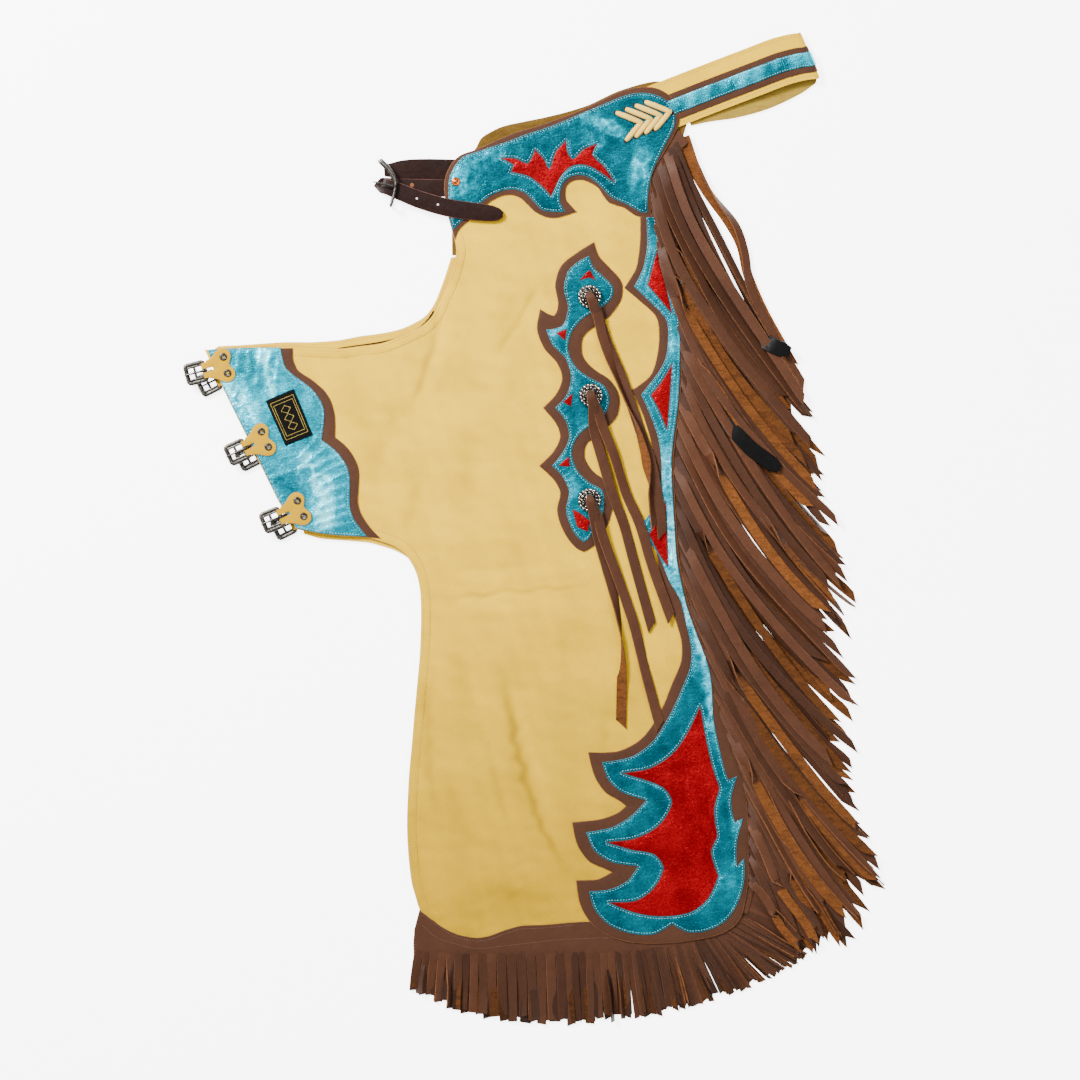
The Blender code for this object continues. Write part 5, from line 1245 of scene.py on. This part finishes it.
def make_tabs():
    rivet_parts, slits = [], []
    for number, (across, down, out_x, out_y) in enumerate(TABS, 1):
        middle = np.array((across, down), float)
        out = np.array((out_x, out_y)) / math.hypot(out_x, out_y)
        side = np.array((-out[1], out[0]))
        axis = Axis(middle + out * TAB_BAR, out, 9.6)
        half = [(*(middle + out * o + side * w), sharp) for o, w, sharp in CLOVER]
        other = [(*(middle + out * o - side * w), sharp) for o, w, sharp in CLOVER[-2::-1]]
        knots = np.array(half + other)
        loops = [spline(knots[:, :2], 1.5, True, knots[:, 2] > 0)]
        sheet(f"tab_{number}_leather", loops, 12.3, 10.8, 2.5, (0.5, 1.1), mats(TAB, TAN_EDGE, TAB), [f"left_tab_{number}"], shape=level,
              relief=lambda p, away, along: 0.2 * (1 - np.exp(-((away / 4) ** 2))) + 0.05 * waves(p, 8, 14))
        loop_parts = []
        for line, width in tab_loop(axis, "", "", 1.2, ((9.0, 1.95), (5.0, 1.95)), 3.2, TAB):
            loop_parts.append(strap_solid(line, axis.bar, width, 1.2))
        points, faces = merged(loop_parts)
        make_piece(f"tab_{number}_loop", points, faces, [TAB.material], smooth=40)
        buckle(axis, f"buckle_{number}_frame", f"left_buckle_{number}", f"buckle_{number}")
        prong(axis, f"buckle_{number}_prong", f"left_prong_{number}", f"prong_{number}")
        for sign in (-1, 1):
            spot = middle - out * 2.6 + side * (sign * 8.4)
            centre = millimetres([spot], 12.35)[0]
            rivet_parts.append(lathe(((4.3, 0.0, 0), (4.3, 0.4, 0), (3.9, 0.95, 0), (3.2, 1.2, 0), (2.5, 1.0, 0), (2.0, 0.3, 0.12), (0.9, 0.15, 0.1), (0.2, 0.2, 0)), 30, centre, 0, 5))
        low = np.array((-0.893, 0.451))
        low /= np.linalg.norm(low)
        low_side = np.array((-low[1], low[0]))
        place = middle + low * (TAB_BAR - 7.0) - low_side * 8.5
        axis = Axis(place, low, 2.85)
        buckle(axis, f"lower_buckle_{number}_frame", f"right_buckle_{number}", "chaps")
        prong(axis, f"lower_buckle_{number}_prong", f"right_prong_{number}", "chaps")
        loop_parts = [strap_solid(line, axis.bar, width, 0.9) for line, width in tab_loop(axis, "", "", 0.9, ((2.4, 2.1),), 4.8, TAB)]
        points, faces = merged(loop_parts)
        make_piece(f"lower_tab_{number}_loop", points, faces, [TAB.material], nodes=[f"right_tab_{number}"], smooth=40)
    points, faces = merged(rivet_parts)
    make_piece("tab_rivets", points, faces, [NICKEL.material])


def strap_solid(line, across, width, thick):
    """A flat strap through points in millimetres that lies across one way all along."""
    line = np.asarray(line, float)
    heading = np.gradient(line, axis=0)
    normal = np.cross(heading, across)
    normal /= np.linalg.norm(normal, axis=1)[:, None]
    half = np.asarray(across) * width / 2
    rings = np.stack([line - half - normal * thick / 2, line + half - normal * thick / 2,
                      line + half + normal * thick / 2, line - half + normal * thick / 2], axis=1)
    faces = []
    for i in range(len(line) - 1):
        for j in range(4):
            m = (j + 1) % 4
            faces.append((4 * i + j, 4 * i + m, 4 * i + 4 + m, 4 * i + 4 + j))
    faces += [(3, 2, 1, 0), tuple(4 * (len(line) - 1) + j for j in range(4))]
    return rings.reshape(-1, 3), faces


make_tabs()
LABEL = np.array(((266, 401), (294, 389), (313, 435), (286, 446)), float)
label_loops = [spline(LABEL, 2, True, np.ones(4, bool))]
sheet("label_cloth", label_loops, 9.1, 8.2, 2.5, (0.5, 1.2), mats(LABEL_CLOTH, LABEL_CLOTH), ["label"],
      relief=lambda p, away, along: 0.12 * waves(p, 16, 9))


def label_frame():
    middle = LABEL.mean(axis=0)
    rows = []
    for share in (0.80, 0.66):
        corners = middle + (LABEL - middle) * (share, share)
        rows.append((spline(corners, 2, True, np.ones(4, bool)), lambda p: 9.15 + rise(p), True))
    axis = (LABEL[2] + LABEL[3] - LABEL[0] - LABEL[1]) / 2
    cross = (LABEL[1] + LABEL[2] - LABEL[0] - LABEL[3]) / 2
    for shift in (-0.18, 0.0, 0.18):
        centre = middle + axis * shift
        diamond = np.array([centre + axis * 0.085, centre + cross * 0.17, centre - axis * 0.085, centre - cross * 0.17])
        rows.append((spline(diamond, 2, True, np.ones(4, bool)), lambda p: 9.15 + rise(p), True))
    stitches("label_threads", rows, GOLD_THREAD.material, pitch=1.3, length=0.98, radius=0.34)


label_frame()


# The belt and the straps

BELT_TOP = (
    (612, 127.2, 4.3), (640, 116, 4.3), (680, 100, 4.3), (700, 92.2, 4.6), (720, 84.5, 5.3), (752, 72.5, 7.0), (780, 62, 8.5), (798, 57.5, 9.2), (806, 56.6, 9.2),
)
BELT_LOW = ((806, 60.5, 1.2), (791, 71, 1.2), (759, 86, 1.2), (727, 95, 1.2), (700, 99, 1.2), (681.2, 103, 1.2))
BELT_ACROSS = np.array((0.368, -0.930, 0.0))
UNDER_ACROSS = np.array((0.413, -0.911, 0.0))


def belt_line():
    """The belt's middle line over its fold, with the way across it at each point."""
    top = spline(BELT_TOP, 3)
    top = millimetres(top[:, :2], top[:, 2])
    low = spline(BELT_LOW, 3)
    low = millimetres(low[:, :2], low[:, 2])
    turn = millimetres([BELT_TOP[-1][:2]], 5.2)[0]
    heading = np.array((0.93, 0.368, 0.0))
    arc = [turn + heading * 4 * math.cos(a) + np.array((0, 0, 4 * math.sin(a))) for a in np.radians(range(75, -76, -15))]
    line = np.vstack((top, arc, low))
    share = np.concatenate((np.zeros(len(top)), np.linspace(0, 1, len(arc)), np.ones(len(low))))
    across = BELT_ACROSS + (UNDER_ACROSS - BELT_ACROSS) * share[:, None]
    return line, across / np.linalg.norm(across, axis=1)[:, None], len(top) + len(arc) // 2


def belt_strip(name, looks, line, across, width, offset, low, high, ripple, nodes, columns=14, tone_and_painted_light=None):
    """A strip of the belt between two heights over its middle line."""
    heading = np.gradient(line, axis=0)
    normal = np.cross(across, heading)
    normal /= np.linalg.norm(normal, axis=1)[:, None]
    if normal[0, 2] < 0:
        normal = -normal
    u = np.linspace(-1, 1, columns)
    places = line[:, None, :] + across[:, None, :] * ((offset + u * width / 2) * GRID_MM)[None, :, None]
    run = np.concatenate(([0], np.cumsum(np.linalg.norm(np.diff(line, axis=0), axis=1))))
    wave = ripple(run[:, None], u[None, :])
    edge = 0.3 * (np.abs(u) > 0.98)
    over = places + normal[:, None, :] * (high + wave - edge)[..., None]
    under = places + normal[:, None, :] * low
    points = np.vstack((over.reshape(-1, 3), under.reshape(-1, 3)))
    rows, count = len(line), len(line) * columns
    faces, kinds = [], []
    for i in range(rows - 1):
        for j in range(columns - 1):
            a = i * columns + j
            faces.append((a, a + 1, a + columns + 1, a + columns))
            faces.append((count + a, count + a + columns, count + a + columns + 1, count + a + 1))
            kinds += [0, 2]
    for i in range(rows - 1):
        for j in (0, columns - 1):
            a = i * columns + j
            faces.append((a, a + columns, count + a + columns, count + a) if j == 0 else (a, count + a, count + a + columns, a + columns))
            kinds.append(1)
    for i in (0, rows - 1):
        for j in range(columns - 1):
            a = i * columns + j
            faces.append((a, count + a, count + a + 1, a + 1) if i == 0 else (a, a + 1, count + a + 1, count + a))
            kinds.append(1)
    # The values passed in may hold painted shade and painted highlights; they become the shade attribute.
    shades = None
    if tone_and_painted_light is not None:
        shades = np.tile(np.broadcast_to(tone_and_painted_light(run[:, None], u[None, :]), (rows, columns)).reshape(-1), 2)
    piece = make_piece(name, points, faces, mats(*looks), kinds, nodes, smooth=45, shades=shades)
    return over


def make_belt():
    line, across, turn = belt_line()
    quiet = lambda run, u: 0.06 * np.sin(run * 0.11 + 2 * u) + 0 * u
    over = belt_strip("belt_leather", (TAN, TAN_EDGE, BELT_LINING), line, across, 49.0, 0.0, -1.0, 1.0, quiet, ["back_belt"], 18)
    stripe = slice(8, turn + 2)
    belt_strip("belt_stripe_leather", (BROWN, CUT_EDGE, BROWN), line[stripe], across[stripe], 27.0, 4.3, 1.05, 2.0,
               lambda run, u: 0.05 * np.sin(run * 0.3 + 3 * u), ["belt_stripe"], 10)
    fine = np.linspace(0, 1, 3 * (turn - 6))
    base = np.linspace(0, 1, turn - 6)
    dense = np.column_stack([np.interp(fine, base, line[8:turn + 2, k]) for k in range(3)])
    dense_across = np.column_stack([np.interp(fine, base, across[8:turn + 2, k]) for k in range(3)])
    gathered = lambda run, u: 0.32 * np.sin(run * 2.6 + 0.6 * np.sin(run * 0.23) + 0.5 * u) * (0.55 + 0.45 * np.sin(run * 0.11 + 1)) * (1 - 0.5 * u**2) + 0.25 * (1 - u**2)
    # The foil inlay's values paint highlights and shade in bands along the belt, with one side painted darker than the
    # other.
    belt_strip("belt_inlay_foil", (TEAL, TEAL_EDGE, TEAL), dense, dense_across, 14.5, 4.05, 2.1, 3.05, gathered, ["belt_inlay"], 14,
               tone_and_painted_light=lambda run, u: np.clip(0.95 + 0.4 * np.sin(run * 0.09 + 2) + 0.35 * np.sin(run * 0.31 + u) - 0.35 * u, 0.5, 2.6))
    rows = []
    for offset, height in ((-20.6, 1.1), (20.8, 1.1), (-22.6, 1.1), (4.05 - 6.0, 3.1), (4.05 + 6.0, 3.1)):
        path = line[4:turn - 3] + across[4:turn - 3] * offset * GRID_MM
        places = path[:, :2] * (1, -1) / GRID_MM + CENTRE
        heights = path[:, 2] + height
        rows.append((places, heights))
    for name, chosen, look in (("belt_sewing", rows[:3], TAN_THREAD), ("belt_foil_sewing", rows[3:], PALE_THREAD)):
        made = [(places, lambda p, places=places, heights=heights: np.interp(p[:, 0], places[:, 0], heights), False) for places, heights in chosen]
        stitches(name, made, look.material, pitch=2.6, length=0.62, radius=0.28 if look is TAN_THREAD else 0.34)


make_belt()

FRONT_STRAP = ((456, 169.5, 1.6, 20.5), (430, 169.2, 2.4, 21), (410, 169.5, 3.2, 20.5), (399, 169.8, 3.4, 18), (391, 170, 3.4, 14), (384, 170.5, 3.4, 11))
BILLET = (
    (461, 187.8, 4.35, 17), (436, 188, 4.35, 17), (412, 187.5, 4.3, 17), (398, 186.5, 4.3, 15.5), (388, 185.5, 4.3, 15),
    (383.4, 185.3, 5.0, 15), (381.6, 185.6, 6.8, 15), (383.4, 186.2, 8.6, 15), (388, 187.5, 9.4, 15), (397, 191, 9.5, 16),
    (421, 200.5, 9.5, 17), (450, 208.5, 9.5, 17.5), (480, 212.5, 9.5, 17), (493, 214, 9.5, 15), (499.5, 214.9, 9.4, 11), (503, 215.5, 9.3, 5),
)


def strap_line(name, rows, nodes, look, edge, thick=1.7):
    line = spline(rows, 1.6)
    strips = [(millimetres(line[:, :2], line[:, 2]), 0, line[:, 3] * GRID_MM, thick, 0.25, 0, 1.0)]
    piece = ribbons(name, strips, mats(look, look, edge), nodes, smooth=30)
    return piece


strap_line("front_strap_leather", FRONT_STRAP, ["front_strap"], STRAP, STRAP_EDGE)
strap_line("front_billet_leather", BILLET, ["front_billet"], STRAP, STRAP_EDGE)
# Pale discs in two of the billet's holes: a painted glint.
parts = []
for place, height, radius in (((417, 199), 10.6, 1.2), ((438, 205), 10.6, 1.2)):
    parts.append(lathe(((radius, 0.0, 0), (radius, 0.22, 0), (radius * 0.3, 0.24, 0)), 16, millimetres([place], height - 0.2)[0]))
points, faces = merged(parts)
make_piece("billet_holes", points, faces, [HOLE_PAINTED_GLINT.material])
points, faces = lathe(((2.3, 0.0, 0), (2.3, 0.3, 0), (1.2, 0.34, 0), (0.8, 0.2, 0)), 18, millimetres([(412, 185)], 5.3)[0])
make_piece("billet_eyelet", points, faces, [CUT_EDGE.material])
wire = []
for offset, height in ((0.0, 13.7), (-3.2, 3.0)):
    row = spline([(382 + offset, 161.0, height), (390.5 + offset, 170, height), (396 + offset * 0.6, 182, height), (394.5 + offset * 0.4, 195, height), (391.5 + offset * 0.3, 206, height)], 1.5)
    wire.append(row if not wire else row[::-1])
path = np.vstack(wire)
path = millimetres(path[:, :2], path[:, 2])
points, faces = merged([bar(path, 1.6, 10, True, up=(1, 0.1, 0))])
make_piece("front_buckle_frame", points, faces, [NICKEL.material], nodes=["front_buckle"], smooth=60)
prong_axis = Axis((394, 187), (-0.98, -0.2), 13.7)
prong(prong_axis, "front_prong_finger", "front_prong", "chaps")
THIGH_STRAPS = (
    ((679, 262, 4.35), (700, 283, 4.35), (735, 318, 4.35), (762, 339, 5.0), (772, 346, 11.5), (790, 352, 12.0)),
    ((686.5, 391, 4.35), (702, 400, 4.35), (722, 420, 8.0), (736, 434, 12.5), (752, 450, 13.5), (779, 469, 12.5)),
)
for number, route in enumerate(THIGH_STRAPS, 1):
    line = spline(route, 3)
    widths = 15.0 * np.minimum(1.0, 0.55 + 0.45 * np.linspace(len(line) / 3, 0, len(line)))
    strips = [(millimetres(line[:, :2], line[:, 2]), 0, widths * GRID_MM, 1.9, 0.3, 0, 1.0)]
    ribbons(f"thigh_strap_{number}_leather", strips, mats(BLACK, BLACK, BLACK), [f"thigh_strap_{number}"])


# Floor, light and camera

FLOOR_GLOW = 5.0

def add_floor():
    mesh = bpy.data.meshes.new("floor")
    reach = 6.0
    mesh.from_pydata([(-reach, -reach, 0), (reach, -reach, 0), (reach, reach, 0), (-reach, reach, 0)], [], [(0, 1, 2, 3)])
    floor = bpy.data.objects.new("floor", mesh)
    look = Look("floor", (0.94, 0.94, 0.94), 0.9)
    look.shader.inputs["Specular IOR Level"].default_value = 0.0
    look.shader.inputs["Emission Color"].default_value = (1, 1, 1, 1)
    look.shader.inputs["Emission Strength"].default_value = FLOOR_GLOW
    mesh.materials.append(look.material)
    floor.location.z = -0.0002
    bpy.context.scene.collection.objects.link(floor)


def add_light(name, place, size, power, aim=(0, 0, 0), spread=180):
    data = bpy.data.lights.new(name, "AREA")
    data.shape = "RECTANGLE"
    data.size, data.size_y = size
    data.energy = power
    data.spread = math.radians(spread)
    lamp = bpy.data.objects.new(name, data)
    lamp.location = place
    lamp.rotation_euler = (Vector(aim) - Vector(place)).to_track_quat("-Z", "Y").to_euler()
    bpy.context.scene.collection.objects.link(lamp)


add_floor()
add_light("key", (-1.8, 1.75, 1.95), (0.8, 0.8), 330)
add_light("left_box", (-1.5, 0.5, 2.6), (0.9, 0.9), 26)
add_light("top_box", (0.35, 1.9, 2.7), (0.9, 0.7), 24)
add_light("fill", (2.0, -1.2, 1.8), (1.4, 1.4), 52)
world = bpy.data.worlds.new("studio")
world.use_nodes = True
world.node_tree.nodes["Background"].inputs["Color"].default_value = (0.97, 0.985, 1.0, 1)
world.node_tree.nodes["Background"].inputs["Strength"].default_value = 0.5
bpy.context.scene.world = world
camera_data = bpy.data.cameras.new("camera")
camera_height = 3.6
camera_data.sensor_width = 36.0
camera_data.lens = 18.0 * (camera_height - 0.005) / 0.594
camera = bpy.data.objects.new("camera", camera_data)
camera.location = ((540 - CENTRE[0]) * 0.0011, (CENTRE[1] - 540) * 0.0011, camera_height)
bpy.context.scene.collection.objects.link(camera)
bpy.context.scene.camera = camera
